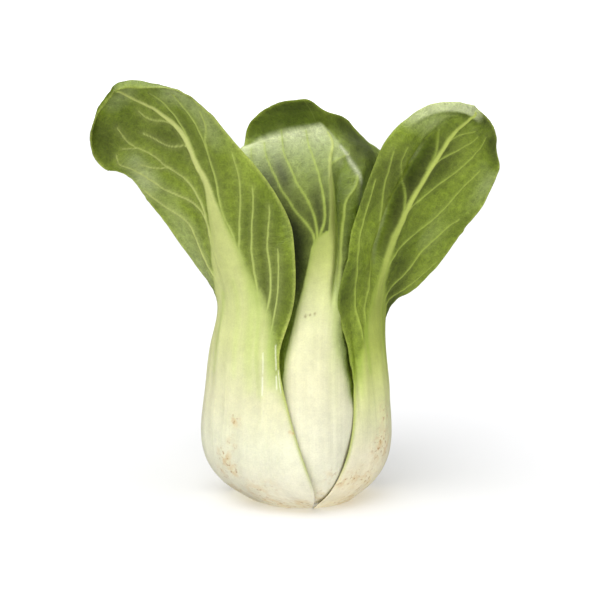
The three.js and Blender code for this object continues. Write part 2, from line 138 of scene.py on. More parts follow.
def leafSurface(leaf, rows, columns):
    # the two faces of a leaf as grids of points in mm, with the flat coordinates of each point
    turn = math.radians(leaf["turn"])
    outward = np.array([math.sin(turn), -math.cos(turn), 0])
    sideways = np.array([math.cos(turn), math.sin(turn), 0])
    stations = leaf["stations"]
    spine = np.array([outward * s[0][1] + sideways * s[0][0] + np.array([0, 0, s[0][2]]) for s in stations])
    knots = runLength(spine)
    last = knots[-1]
    track = [curveThrough(knots, spine[:, k]) for k in range(3)]

    def place(u):
        return np.stack([curve(u) for curve in track], -1)

    def column(pick):
        return curveThrough(knots, [pick(s) for s in stations])
    twist, skew = column(lambda s: s[1][0]), column(lambda s: s[1][1])
    halves = [[column(lambda s, k=k, j=j: s[k][j]) for j in range(3)] for k in (2, 3)]
    thick, ribHalf = column(lambda s: s[4][0]), column(lambda s: s[4][1])
    dense = np.linspace(0, last, 601)
    lengths = runLength(place(dense))
    length, tip = lengths[-1], leaf["tip"]

    def halfWidth(side, y):
        end = np.clip((y - (length - tip)) / tip, 0, 1)
        body = halves[side][0](np.interp(y, lengths, dense))
        return np.maximum(body * np.sqrt(np.maximum(1 - end * end, 0)), leastHalfWidth)

    def heights(body, end, degrees):
        # rows along the flat leaf, closer together round the tip
        rounded = tip * np.sin(np.radians(degrees * np.arange(end) / (end - 1)))
        return np.concatenate([(length - tip) * np.arange(body) / body, length - tip + rounded])

    tipRows = max(6, round(rows * 0.3))
    y = heights(rows - tipRows, tipRows, 87.5)
    u = np.interp(y, lengths, dense)
    centre = place(u)
    along = unit(place(np.minimum(u + 0.4, last)) - place(np.maximum(u - 0.4, 0)))
    # petiole sections stay level, blade sections lie across the midrib
    level = (1 - smooth(*levelUpTo, y))[:, None]
    along = unit(along * (1 - level) + np.array([0, 0, 1]) * level)
    face, tilt = turn + np.radians(twist(u)), np.radians(skew(u))[:, None]
    across = np.stack([np.cos(face), np.sin(face), 0 * face], -1)
    across = unit(across - (across * along).sum(-1, keepdims=True) * along)
    facing = np.cross(across, along)
    across = across * np.cos(tilt) + along * np.sin(tilt)
    lengthways = np.cross(facing, across)
    # each row bends away from the midrib, its heading turning from the middle to the margin
    sections = []
    for side, sign in ((0, -1), (1, 1)):
        width = halfWidth(side, y)[:, None]
        half, margin = (np.radians(halves[side][j](u))[:, None] for j in (1, 2))
        q = np.repeat(np.linspace(0, 1, columns + 1)[None], len(y), 0)
        heading = q * (4 * half - margin) + q * q * (2 * margin - 4 * half)
        step = width / columns
        turns = np.cos(heading), np.sin(heading)
        steps = [np.cumsum((a[:, 1:] + a[:, :-1]) / 2 * step, 1) for a in turns]
        reach, depth = (np.concatenate([0 * width, a], 1)[..., None] for a in steps)
        cosine, sine = (a[..., None] for a in turns)
        out, aside = facing[:, None], across[:, None]
        point = centre[:, None] + sign * reach * aside - depth * out
        normal = out * cosine + sign * aside * sine
        onward = aside * cosine - sign * out * sine
        sections.append((point, normal, onward, sign * width * q, sign * q))
    left, right = sections
    point, normal, onward, x, q = (np.concatenate([a[:, :0:-1], b], 1) for a, b in zip(left, right))
    height = np.repeat(y[:, None], x.shape[1], 1)
    # the midrib stands out, and pleats push the blade in or out
    ribThick = np.maximum(thick(u) - edgeThickness, 0)[:, None]
    bulge = ribThick * np.maximum(1 - (x / np.maximum(ribHalf(u), 0.6)[:, None]) ** 2, 0) ** 1.5
    push = bulge * (0.5 - 0.4 * np.clip((thick(u) - 1.5) / 4.5, 0, 1))[:, None]
    for pleat in leaf.get("pleats", []):
        fade = (smooth(pleat["from"], pleat["from"] + pleat["fade"], height)
                * (1 - smooth(pleat["to"] - pleat["fade"], pleat["to"], height)))
        push = push + pleat["push"] * fade * np.exp(-((q - pleat["place"]) / pleat["width"]) ** 2)
    point = point + normal * push[..., None]
    # how far each point is from the margin, and how the margin curls there
    outline = []
    for side, sign, name in ((0, -1, "left"), (1, 1, "right")):
        at = heights(160, 81, 88)
        rims = leaf.get("rims", {}).get(name, [[0, 0, 0], [1, 0, 0]])
        band, curl = lookUp(rims, at / length), lookUp(rims, at / length, 2)
        line = np.stack([sign * halfWidth(side, at), at, band, curl], -1)
        outline.append(line if side == 0 else line[::-1])
    flat = np.stack([x, height], -1)
    away, toMargin, carried = nearestOnLines(flat.reshape(-1, 2), [np.concatenate(outline)])
    away = away.reshape(x.shape)
    toMargin, carried = (a.reshape(x.shape + (2,)) for a in (toMargin, carried))
    through = normal
    if "rims" in leaf:
        band, curl = carried[..., 0], np.radians(carried[..., 1])
        bends = np.abs(curl) > leastCurl
        curled = np.maximum(band - away, 0) * bends
        radius = np.where(bends, band / np.where(bends, curl, 1), 1)[..., None]
        angle = curled[..., None] / radius
        outwards = onward * toMargin[..., :1] + lengthways[:, None] * toMargin[..., 1:]
        rolled = radius * np.sin(angle) - curled[..., None]
        point = point + outwards * rolled + normal * radius * (1 - np.cos(angle))
        through = normal * np.cos(angle) - outwards * np.sin(angle)
    return {"point": point, "through": through, "thick": edgeThickness + bulge, "flat": flat, "q": q,
            "away": away, "length": length}

# the leaves: where they stand and how they bend, the same numbers as in the CAD solids
# stations along the midrib: [side, out, height], [twist, skew], left and right half [width, heading half way,
# heading at the margin], [thickness, half width of the petiole or midrib]; mm and degrees

edgeThickness = 0.9
frontLeft = {
    "turn": -46, "tip": 36,
    "stations": [
        [[0, 20.5, 0], [0, 0], [19, 20, 40], [22.5, 24, 48], [5.5, 20]],
        [[0, 33.8, 11], [0, 0], [27, 19, 38], [34, 22, 44], [8, 24]],
        [[1, 38.8, 27], [0, 0], [29, 19, 38], [32, 21, 42], [8, 25]],
        [[2, 38, 46], [0, 0], [27, 18, 38], [25, 18, 36], [7, 22]],
        [[2, 36, 66], [2, 0], [22, 18, 40], [20, 18, 36], [6, 16]],
        [[1.1, 33.8, 83], [6, 0], [18, 20, 45], [25, 15, 32], [5, 10]],
        [[-2.8, 37.5, 102.5], [14, 0], [19, 5, 0], [30, 14, 30], [3.6, 5]],
        [[-2.8, 43.6, 121.8], [20, 0], [26.5, 0, -5], [26.5, 8, 20], [2.7, 3.2]],
        [[-4.7, 50.5, 140.7], [24, 0], [32.5, 0, 0], [16.5, 4, 10], [1.9, 2.2]],
        [[-8, 58.2, 151.5], [28, 0], [38.5, 0, 0], [15.5, 2, 4], [1.5, 1.6]],
        [[-13.5, 66.5, 160], [30, 0], [41, 0, 0], [16, 0, 0], [1.3, 1.4]],
        [[-20, 77, 170], [30, 0], [42.5, 0, 0], [17, 0, 0], [1.2, 1.2]]],
    "rims": {  # curled margins: share of the length, band in mm, curl in degrees
        "left": [[0, 0, 0], [0.86, 0, 0], [0.94, 8, 90], [1, 11, 130]],
        "right": [[0, 0, 0], [0.8, 0, 0], [0.87, 4, 80], [0.94, 8, 120], [1, 11, 130]]},
}
frontRight = {
    "turn": 66, "tip": 36,
    "stations": [
        [[0, 23, 0], [0, 0], [20.5, 24, 48], [17, 20, 40], [5.5, 18]],
        [[0, 34, 11], [0, 0], [25, 20, 40], [21, 16, 32], [8, 20]],
        [[0, 38, 27], [0, 0], [22.5, 17, 34], [20, 16, 32], [8, 20]],
        [[0, 36.5, 48], [0, 0], [19, 14, 28], [17, 16, 32], [7, 18]],
        [[0, 34.4, 66], [-4, 0], [18, 14, 28], [15.5, 18, 36], [6, 15]],
        [[-0.4, 33.6, 82], [-12, 0], [20, 12, 25], [22.5, 2, 4], [5, 10]],
        [[0.8, 36.3, 93], [-20, 0], [21, 5, 12], [27.5, -2, -4], [4.2, 6.5]],
        [[1.6, 40.4, 105], [-30, 0], [21.5, 4, 8], [29, -4, -8], [3.4, 4.2]],
        [[2, 46.2, 119], [-36, 0], [22, 4, 8], [30, -4, -8], [2.8, 3]],
        [[3.8, 52.7, 130.6], [-40, 0], [24, 4, 8], [30.5, -4, -8], [2.2, 2.4]],
        [[4.4, 59.1, 141], [-42, 0], [25.2, 4, 8], [31, -4, -8], [1.8, 1.9]],
        [[5.1, 65.5, 149], [-44, 0], [24.8, 2, 4], [38, -2, -4], [1.4, 1.5]],
        [[5.4, 74, 153.4], [-44, 0], [24.5, 2, 4], [58, 0, 0], [1.2, 1.3]]],
    "rims": {
        "left": [[0, 0, 0], [0.7, 0, 0], [0.8, 6, -40], [0.92, 8, -70], [1, 7, -85]],
        "right": [[0, 0, 0], [0.92, 0, 0], [0.97, 2, -25], [1, 3, -40]]},
    "pleats": [{"place": -0.25, "width": 0.15, "push": -5, "from": 90, "to": 170, "fade": 20}],
}
frontMiddle = {
    "turn": 13, "tip": 30,
    "stations": [
        [[2, 22.5, 2], [0, 0], [9, 26, 52], [9, 26, 52], [5.5, 12]],
        [[1, 32.6, 10], [0, 0], [14, 24, 48], [11.5, 33, 66], [7, 12]],
        [[0.1, 39.2, 28], [0, 0], [18, 25, 50], [17.2, 29.5, 59], [7, 16]],
        [[0.4, 38.6, 50], [0, 0], [18, 25, 50], [17.7, 29, 58], [6.5, 15]],
        [[1.3, 34.9, 62], [0, 0], [18, 24, 48], [16.3, 30.5, 61], [6, 13]],
        [[4.4, 28.4, 82], [0, 0], [20, 22, 44], [16, 30, 60], [5, 9]],
        [[7.2, 25.4, 97], [0, 0], [25, 20, 40], [20, 30, 60], [4, 6]],
        [[7.5, 24, 113], [0, 0], [32, 10, 20], [24, 32, 62], [3.2, 4]],
        [[7.8, 21.6, 127], [0, 4], [37, 3, 6], [28, 36, 56], [2.6, 3]],
        [[8.1, 16.6, 135.5], [0, 6], [37.5, 1, 2], [37.5, 33, 48], [2.2, 2.5]],
        [[8, 11, 142], [0, 2], [37, 0, 0], [39.5, 28, 42], [1.9, 2]],
        [[6.6, 7.4, 147.5], [0, -10], [34.5, 0, 0], [20.5, 28, 42], [1.6, 1.8]],
        [[3.5, 9.8, 153.5], [0, -24], [34, 0, 0], [8, 20, 30], [1.4, 1.5]],
        [[-1, 13.2, 159], [0, -35], [33, 0, 0], [9, 10, 20], [1.2, 1.2]]],
    "pleats": [
        {"place": 0.15, "width": 0.09, "push": -2.5, "from": 84, "to": 150, "fade": 16},
        {"place": 0.42, "width": 0.12, "push": 2.2, "from": 104, "to": 160, "fade": 18}],
}
# leaves alike on both sides of their midrib
# rows along the midrib: [out, height, half width, heading half way, heading at the margin, thickness,
# half width of the petiole or midrib]
backLeaf = {
    "turn": -150, "tip": 30,
    "table": [
        [17.5, 0, 18, 28, 56, 5.5, 16], [32, 11, 24, 19, 38, 8, 20], [38, 27, 26, 20, 40, 8, 22],
        [36.5, 48, 23, 20, 40, 7, 19], [34, 68, 19, 20, 40, 5.5, 13], [35, 86, 22, 12, 24, 4, 6.5],
        [40, 104, 28, 4, 8, 3, 4], [49, 118, 30, 0, 0, 2.2, 2.5], [60, 128, 28, -4, -8, 1.5, 1.6],
        [69, 131, 23, -4, -8, 1.2, 1.2]]}
sideLeftLeaf = {
    "turn": -98, "tip": 26,
    "table": [
        [17, 3, 8, 20, 40, 6, 12], [33, 26, 16, 22, 44, 7, 15], [32.5, 48, 17, 22, 44, 6, 14],
        [29.5, 66, 18, 20, 40, 5, 10], [27.5, 84, 22, 16, 32, 4, 6], [29, 102, 25, 10, 20, 3, 3.6],
        [34, 118, 24, 4, 8, 2, 2.2], [41, 130, 20, 0, 0, 1.2, 1.3]]}
backRightLeaf = {
    "turn": 133, "tip": 26,
    "table": [
        [17, 0, 5, 15, 30, 4.6, 10], [24.5, 7, 10, 20, 40, 6, 12], [33, 26, 16, 22, 44, 7, 15],
        [32.5, 48, 17, 22, 44, 6, 14], [29.5, 66, 18, 20, 40, 5, 10], [27.5, 84, 23, 16, 32, 4, 6],
        [29, 102, 26, 10, 20, 3, 3.6], [34, 118, 25, 4, 8, 2, 2.2], [42, 129, 21, 0, 0, 1.2, 1.3]]}
innerBackLeaf = {
    "turn": -172, "tip": 22,
    "table": [
        [13, 6, 7, 22, 44, 5, 10], [24, 26, 14, 26, 52, 6, 12], [24, 46, 14, 26, 52, 5, 11],
        [20.5, 66, 14, 24, 48, 4, 8], [17, 84, 16, 20, 40, 3, 4.5], [17, 102, 18, 14, 28, 2, 2.6],
        [21, 118, 16, 6, 12, 1.2, 1.3]]}
innerLeftLeaf = {
    "turn": -40, "tip": 20,
    "table": [
        [13, 6, 7, 22, 44, 5, 10], [24, 26, 13, 26, 52, 6, 11], [24, 46, 13, 26, 52, 5, 10],
        [20.5, 64, 13, 24, 48, 4, 7], [16, 80, 16, 18, 36, 3, 4.2], [14, 96, 18, 12, 24, 2, 2.4],
        [15.5, 110, 15, 6, 12, 1.2, 1.3]]}
innerRightLeaf = {
    "turn": 74, "tip": 22,
    "table": [
        [13, 6, 7, 22, 44, 5, 10], [24, 26, 13, 28, 56, 6, 12], [24, 46, 13, 28, 56, 5, 11],
        [20.5, 65, 13, 26, 52, 4, 8], [17, 82, 15, 20, 40, 3, 4.5], [17, 99, 16, 14, 28, 2, 2.6],
        [20, 114, 14, 6, 12, 1.2, 1.3]]}
heartFrontLeaf = {
    "turn": 20, "tip": 13,
    "table": [
        [7, 12, 5, 25, 50, 3.5, 6], [12, 28, 8, 28, 56, 4, 7], [11.5, 44, 8.5, 26, 52, 3.2, 5],
        [8.5, 60, 10, 20, 40, 2.2, 3], [6.5, 76, 10, 12, 24, 1.2, 1.3]]}
heartBackLeaf = {
    "turn": 200, "tip": 12,
    "table": [
        [7, 12, 5, 25, 50, 3.5, 6], [12, 28, 8, 28, 56, 4, 7], [11.5, 44, 8.5, 26, 52, 3.2, 5],
        [9, 58, 9.5, 20, 40, 2.2, 3], [8, 70, 9, 12, 24, 1.2, 1.3]]}
for leaf in (backLeaf, sideLeftLeaf, backRightLeaf, innerBackLeaf, innerLeftLeaf, innerRightLeaf,
             heartFrontLeaf, heartBackLeaf):
    leaf["stations"] = plainStations(leaf["table"])

# veins
# each: [half width at the start, at the end, [[mm along the midrib, share of the half width], ...]]
frontLeftVeins = {
    "middle": [3, 0.6, [[70, 0.06], [100, 0.08], [129, 0.07], [139, 0.04], [150, 0], [158, 0.05],
        [167, 0.05], [173, 0], [180, -0.08], [187, -0.14]]],
    "side": [[0.79, 0.34, [[96, -0.3], [108, -0.24], [119, -0.16], [127, -0.12], [132, -0.15], [139, -0.22],
            [148, -0.4], [158, -0.49], [166, -0.52], [178, -0.52]]],
        [0.45, 0.3, [[148, -0.4], [150, -0.6], [154, -0.7]]], [0.45, 0.3, [[165, -0.52], [171, -0.64]]],
        [0.65, 0.3, [[112, -0.2], [124, -0.14], [129, -0.22], [135, -0.5], [142, -0.72], [151, -0.82],
            [162, -0.84], [171, -0.76]]],
        [0.65, 0.34, [[74, -0.4], [92, -0.5], [106, -0.57], [114, -0.53], [121, -0.53], [128, -0.73],
            [139, -0.92]]],
        [0.5, 0.3, [[146, 0.02], [154, -0.02], [156, -0.18], [162, -0.27], [169, -0.32]]],
        [0.55, 0.3, [[158, 0.05], [163, 0.03], [167, -0.04], [170, -0.12], [176, -0.17]]],
        [0.65, 0.3, [[148, 0.02], [159, 0.14], [165, 0.24], [170, 0.31], [177, 0.33]]],
        [0.79, 0.3, [[104, 0.2], [112, 0.22], [119, 0.21], [126, 0.17], [134, 0.19], [142, 0.26],
            [151, 0.38], [160, 0.54], [171, 0.68]]],
        [0.5, 0.26, [[150, 0.37], [153, 0.46], [156, 0.66], [162, 0.86]]],
        [0.72, 0.3, [[98, 0.26], [104, 0.25], [110, 0.26], [115, 0.3], [126, 0.42], [135, 0.57],
            [146, 0.8]]],
        [0.72, 0.3, [[84, 0.42], [90, 0.41], [98, 0.4], [106, 0.42], [116, 0.48], [125, 0.58],
            [134, 0.74]]],
        [0.65, 0.3, [[78, 0.58], [85, 0.58], [91, 0.61], [98, 0.64], [105, 0.65], [112, 0.67], [120, 0.74],
            [127, 0.83]]],
        [0.43, 0.26, [[66, 0.8], [76, 0.76], [84, 0.74], [90, 0.73], [97, 0.76], [106, 0.79]]]]}
frontRightVeins = {
    "middle": [1.7, 0.6, [[78, 0], [95, -0.04], [110, -0.04], [119, -0.03], [128, -0.01], [136, -0.02],
        [158, -0.02], [164, -0.04], [170, -0.13]]],
    "side": [[0.6, 0.35, [[112, -0.03], [121, 0], [126, 0.02], [129, 0.08], [136, 0.18], [148, 0.4],
            [158, 0.52], [166, 0.6]]],
        [0.6, 0.35, [[96, 0.02], [104, 0.05], [113, 0.22], [124, 0.46], [139, 0.56], [150, 0.7]]],
        [0.65, 0.35, [[84, 0.28], [88, 0.24], [99, 0.48], [107, 0.54], [115, 0.65], [130, 0.8]]],
        [0.65, 0.3, [[79, 0.38], [84, 0.36], [91, 0.67], [98, 0.8], [106, 0.92]]],
        [0.6, 0.3, [[150, -0.03], [155, -0.01], [165, 0.28]]],
        [0.6, 0.3, [[138, -0.03], [146, 0], [156, 0.26], [164, 0.4]]],
        [0.6, 0.35, [[76, -0.42], [83, -0.4], [91, -0.33], [102, -0.31], [110, -0.34], [123, -0.56],
            [133, -0.72], [143, -0.8]]],
        [0.6, 0.3, [[68, -0.58], [80, -0.6], [86, -0.62], [94, -0.7], [106, -0.8], [118, -0.84],
            [130, -0.88]]],
        [0.45, 0.25, [[118, -0.05], [126, -0.07], [130, -0.12], [133, -0.22], [137, -0.5], [147, -0.62]]],
        [0.6, 0.3, [[142, -0.05], [150, -0.08], [157, -0.22]]]]}
frontMiddleVeins = {
    "middle": [2.2, 0.5, [[86, -0.02], [102, -0.03], [121, 0.01], [135, 0], [142, 0.01], [150, 0.06],
        [158, 0.14]]],
    "side": [[0.79, 0.34, [[108, -0.22], [114, -0.17], [119, -0.1], [127, -0.08], [134, -0.1], [141, -0.13],
            [151, -0.18], [160, -0.18]]],
        [0.79, 0.34, [[106, -0.26], [112, -0.2], [120, -0.19], [127, -0.24], [135, -0.34], [145, -0.42],
            [155, -0.48], [162, -0.5]]],
        [0.79, 0.34, [[108, -0.26], [116, -0.24], [122, -0.36], [129, -0.47], [138, -0.56], [146, -0.62],
            [158, -0.73]]], [0.43, 0.26, [[130, -0.7], [140, -0.76], [148, -0.8], [155, -0.86]]],
        [0.58, 0.26, [[136, 0], [142, 0.02], [145, 0.1], [148, 0.24]]],
        [0.8, 0.4, [[96, 0.22], [110, 0.2], [118, 0.22], [125, 0.24], [130, 0.29], [134, 0.36],
            [138, 0.35]]], [0.72, 0.3, [[92, 0.58], [100, 0.55], [116, 0.6], [128, 0.78]]]]}


grownPairs = [0.42, 0.86]  # the side veins leave the midrib between these shares of its length


def grownVeins(seed, length, pairs):
    # veins for a leaf seen less: a midrib and pairs that fan out of the petiole to the margin
    start, stop = grownPairs
    draw = np.random.default_rng(seed)
    veins = []
    for side in (-1, 1):
        for i in range(pairs):
            leave = length * (start + (stop - start) * (i + draw.uniform(-0.15, 0.25)) / pairs)
            run = length * draw.uniform(0.16, 0.22)
            root = 0.35 - 0.3 * i / max(pairs - 1, 1)
            points = [
                [max(leave - length * 0.2, 0.3 * length), side * root], [leave, side * (root * 0.7 + 0.02)],
                [leave + run * 0.3, side * draw.uniform(0.2, 0.3)],
                [leave + run * 0.65, side * draw.uniform(0.48, 0.58)],
                [min(leave + run * 1.1, length * 0.99), side * draw.uniform(0.8, 0.92)]]
            veins.append([2.1 - 1.1 * i / pairs, 0.35, points])
    middle = [[length * 0.4, 0], [length * 0.7, draw.uniform(-0.03, 0.03)],
              [length * 0.98, draw.uniform(-0.05, 0.05)]]
    return {"middle": [3 * min(length / 150, 1), 0.5, middle], "side": veins}


def smoothLine(points, widths, surface):
    # a vein as rows x, y, half width, in mm on the flat leaf, rounded off between its points
    points = np.array(points, float)
    along = np.concatenate([[0], np.cumsum(np.hypot(np.diff(points[:, 0]), np.diff(points[:, 1]) * 25))])
    t = np.linspace(0, along[-1], 5 * len(points))
    y, q = curveThrough(along, points[:, 0])(t), curveThrough(along, points[:, 1])(t)
    rows = surface["flat"][:, 0, 1]
    leftHalf, rightHalf = -surface["flat"][:, 0, 0], surface["flat"][:, -1, 0]
    half = np.where(q < 0, np.interp(y, rows, leftHalf), np.interp(y, rows, rightHalf))
    width = widths[0] + (widths[1] - widths[0]) * (t / along[-1]) ** 0.7
    return np.stack([q * half, y, width], -1)


def veinField(veins, surface, wander):
    # how much each point of the flat leaf belongs to the midrib and to a side vein, the soft glow round the
    # veins, and how far the nearest vein is in mm
    shape = surface["q"].shape
    flat = surface["flat"].reshape(-1, 2) + wander.reshape(-1, 1) * np.array([[1.0, 0.6]])
    middle, side, glow, gap = (np.full(len(flat), start) for start in (0.0, 0.0, 0.0, 30.0))
    for start, end, points in [veins["middle"]] + veins["side"]:
        line = smoothLine(points, (start, end), surface)
        distance, _, carried = nearestOnLines(flat, [line], reach=12)
        found = distance < 12.5
        width = np.where(found, carried[:, 0], 1)
        if points is veins["middle"][2]:
            middle = np.where(found, np.exp(-(distance / width) ** 4), 0)
        else:
            side = np.maximum(side, np.where(found, np.exp(-(distance / width) ** 2), 0))
        glow = np.maximum(glow, np.where(found, np.exp(-(distance / (width * 2 + 1.2)) ** 2), 0))
        gap = np.minimum(gap, np.where(found, distance, 30))
    return {name: value.reshape(shape) for name, value in
            (("middle", middle), ("side", side), ("glow", glow), ("gap", gap))}

# colours, as they look in soft daylight (red, green, blue out of 255)
# rows, columns: grid of each face; seed: of its unevenness; blade, light, dark, edge: tones of the blade
# ramp: [mm along the midrib, red, green, blue] of the petiole and the veins
# petiole: [mm along, left and right edge as a share of the half width] of the pale part
# fade, fadeRight: mm over which it fades into the blade; greenLeft, greenRight: how green its margins are
# raise, quilt: mm that veins stand out and the blade pillows between them; veinStrength: how pale they are
# flutes: [height, half width, [[mm along, share], ...]] of lengthways ridges, with a height below 0 a groove
# soil: [mm along, share, radius, strength] of brown flecked patches; dots: [mm along, share, radius]
# painted shade and painted sheen on the blade, patch by patch: [mm along, share, half length, half width,
# times], lighter above 1 and darker below
# bands, gleam: [half width, strength, points] of greener bands in the petiole and of painted highlight lines
# lip: [start along, end share on the right, width, painted sheen colour, share] of the rolled margin round
# the tip, which also has a painted shadow line inside it
# crease: [points, painted shade times above, painted sheen colour below, share, reach] where the top of the
# blade bends back
# midribShade: [mm along, times]; back: times of the inner face; rimLeft: strength of the left edge line
# outerOnly: the keys that the inner face does without; rampLength: mm of leaf that the ramp is given for
frontLeftLook = {
    "rows": 320, "columns": 75, "seed": 3, "blade": [124, 142, 40], "light": [142, 160, 56],
    "dark": [102, 120, 28], "edge": [188, 200, 100],
    "ramp": [[0, 234, 226, 192], [10, 240, 234, 206], [22, 242, 239, 212], [34, 243, 243, 212],
        [52, 237, 235, 192], [74, 226, 230, 162], [92, 218, 224, 150], [104, 210, 217, 138],
        [125, 206, 214, 130], [160, 206, 213, 128], [187, 194, 203, 112]],
    "petiole": [[0, -1.3, 1.3], [50, -1.3, 1.1], [62, -1.2, 1.0], [77, -1.1, 0.88], [86, -1.0, 0.66],
        [90, -0.98, 0.52], [96, -0.84, 0.38], [104, -0.5, 0.3], [114, -0.2, 0.25], [120, -0.1, 0.2],
        [126, -0.04, 0.15], [132, -0.03, 0.09], [140, 0, 0.05], [150, 0.05, -0.05]],
    "fade": 1.3, "fadeRight": 2.4, "greenLeft": 0.25, "raise": 0.42, "quilt": 0.6, "veinStrength": 0.85,
    "flutes": [[0.45, 1.5, [[34, 0.56], [52, 0.62], [66, 0.67], [78, 0.64], [92, 0.55]]],
        [0.35, 1.2, [[40, 0.86], [54, 0.9], [66, 0.92], [78, 0.88], [92, 0.7]]],
        [0.3, 3, [[24, 0.3], [50, 0.34], [78, 0.32], [100, 0.2]]],
        [0.25, 3, [[30, -0.35], [56, -0.4], [80, -0.4], [98, -0.3]]],
        [-0.3, 2, [[36, 0.45], [60, 0.5], [80, 0.46], [96, 0.3]]]],
    "soil": [[29, -0.06, 4, 0.9], [25, 0.06, 3.5, 1], [11, -0.14, 4, 1], [45, 0.14, 3, 0.6],
        [43, 0.97, 1.5, 0.7], [36, 0.1, 3, 0.5], [14, 0.3, 6, 0.6], [6, 0.4, 6, 0.8], [6, 0.86, 5, 0.8],
        [21, -0.2, 4, 0.5], [18, 0.5, 5, 0.3], [3, 0.1, 8, 0.7], [3, 0.5, 8, 0.7]],
    # painted shade and painted sheen of this leaf
    "patches": [[166, -0.66, 7, 7, 1.2], [145, -0.84, 9, 6, 2.2], [122, -0.7, 14, 7, 1.45],
        [156, 0.62, 10, 6, 1.5], [184, -0.2, 4, 10, 1.5], [166, 0.72, 8, 6, 1.5], [103, -0.88, 10, 6, 1.6],
        [110, 0.92, 16, 3, 1.25], [175, -0.5, 6, 9, 0.7], [165, -0.28, 6, 6, 0.65],
        [157, -0.12, 11, 5, 0.75], [180, -0.78, 6, 5, 0.55], [160, 0.18, 9, 6, 0.75],
        [140, 0.48, 8, 5, 0.8], [159, -0.24, 6, 5, 0.75], [129, -0.42, 6, 5, 0.8], [113, 0.62, 13, 8, 0.65],
        [96, 0.75, 12, 7, 0.65], [101, 0.45, 10, 5, 0.75], [91, 0.55, 8, 6, 0.55], [173, -0.15, 9, 10, 0.9],
        [148, -0.4, 8, 7, 0.9], [138, 0.2, 10, 3, 0.85], [172, 0.85, 4, 9, 1.5], [158, -0.71, 5, 4, 1.5],
        [163, 0.5, 7, 4, 0.7], [150, 0.28, 10, 3, 0.8], [135, 0.13, 10, 3, 0.85], [187, -0.85, 5, 5, 0.6],
        [173, -0.85, 4, 4, 0.6]],
    "back": [0.74, 0.76, 0.68],
    # painted highlight lines on the petiole
    "gleam": [[0.26, 0.85, [[56.5, 0.64], [60, 0.665], [63, 0.68]]],
        [0.22, 0.7, [[64.5, 0.69], [69, 0.7], [72, 0.69]]],
        [0.24, 0.75, [[59, 0.9], [61, 0.915], [64, 0.93]]], [0.2, 0.7, [[66, 0.94], [70, 0.94], [76, 0.9]]],
        [0.18, 0.6, [[58, 0.955], [61, 0.965], [66, 0.975]]]],
    "bands": [[2.5, 0.5, [[58, 0.42], [75, 0.38], [94, 0.3]]],
        [1.8, 0.6, [[60, 0.79], [68, 0.81], [78, 0.8], [88, 0.72]]],
        [1.6, 0.5, [[62, -0.5], [78, -0.5], [94, -0.4]]], [1.6, 0.6, [[56, 0.58], [75, 0.53], [92, 0.37]]],
        [1.4, 0.3, [[62, 0.08], [80, 0.06], [98, 0.04]]]]}
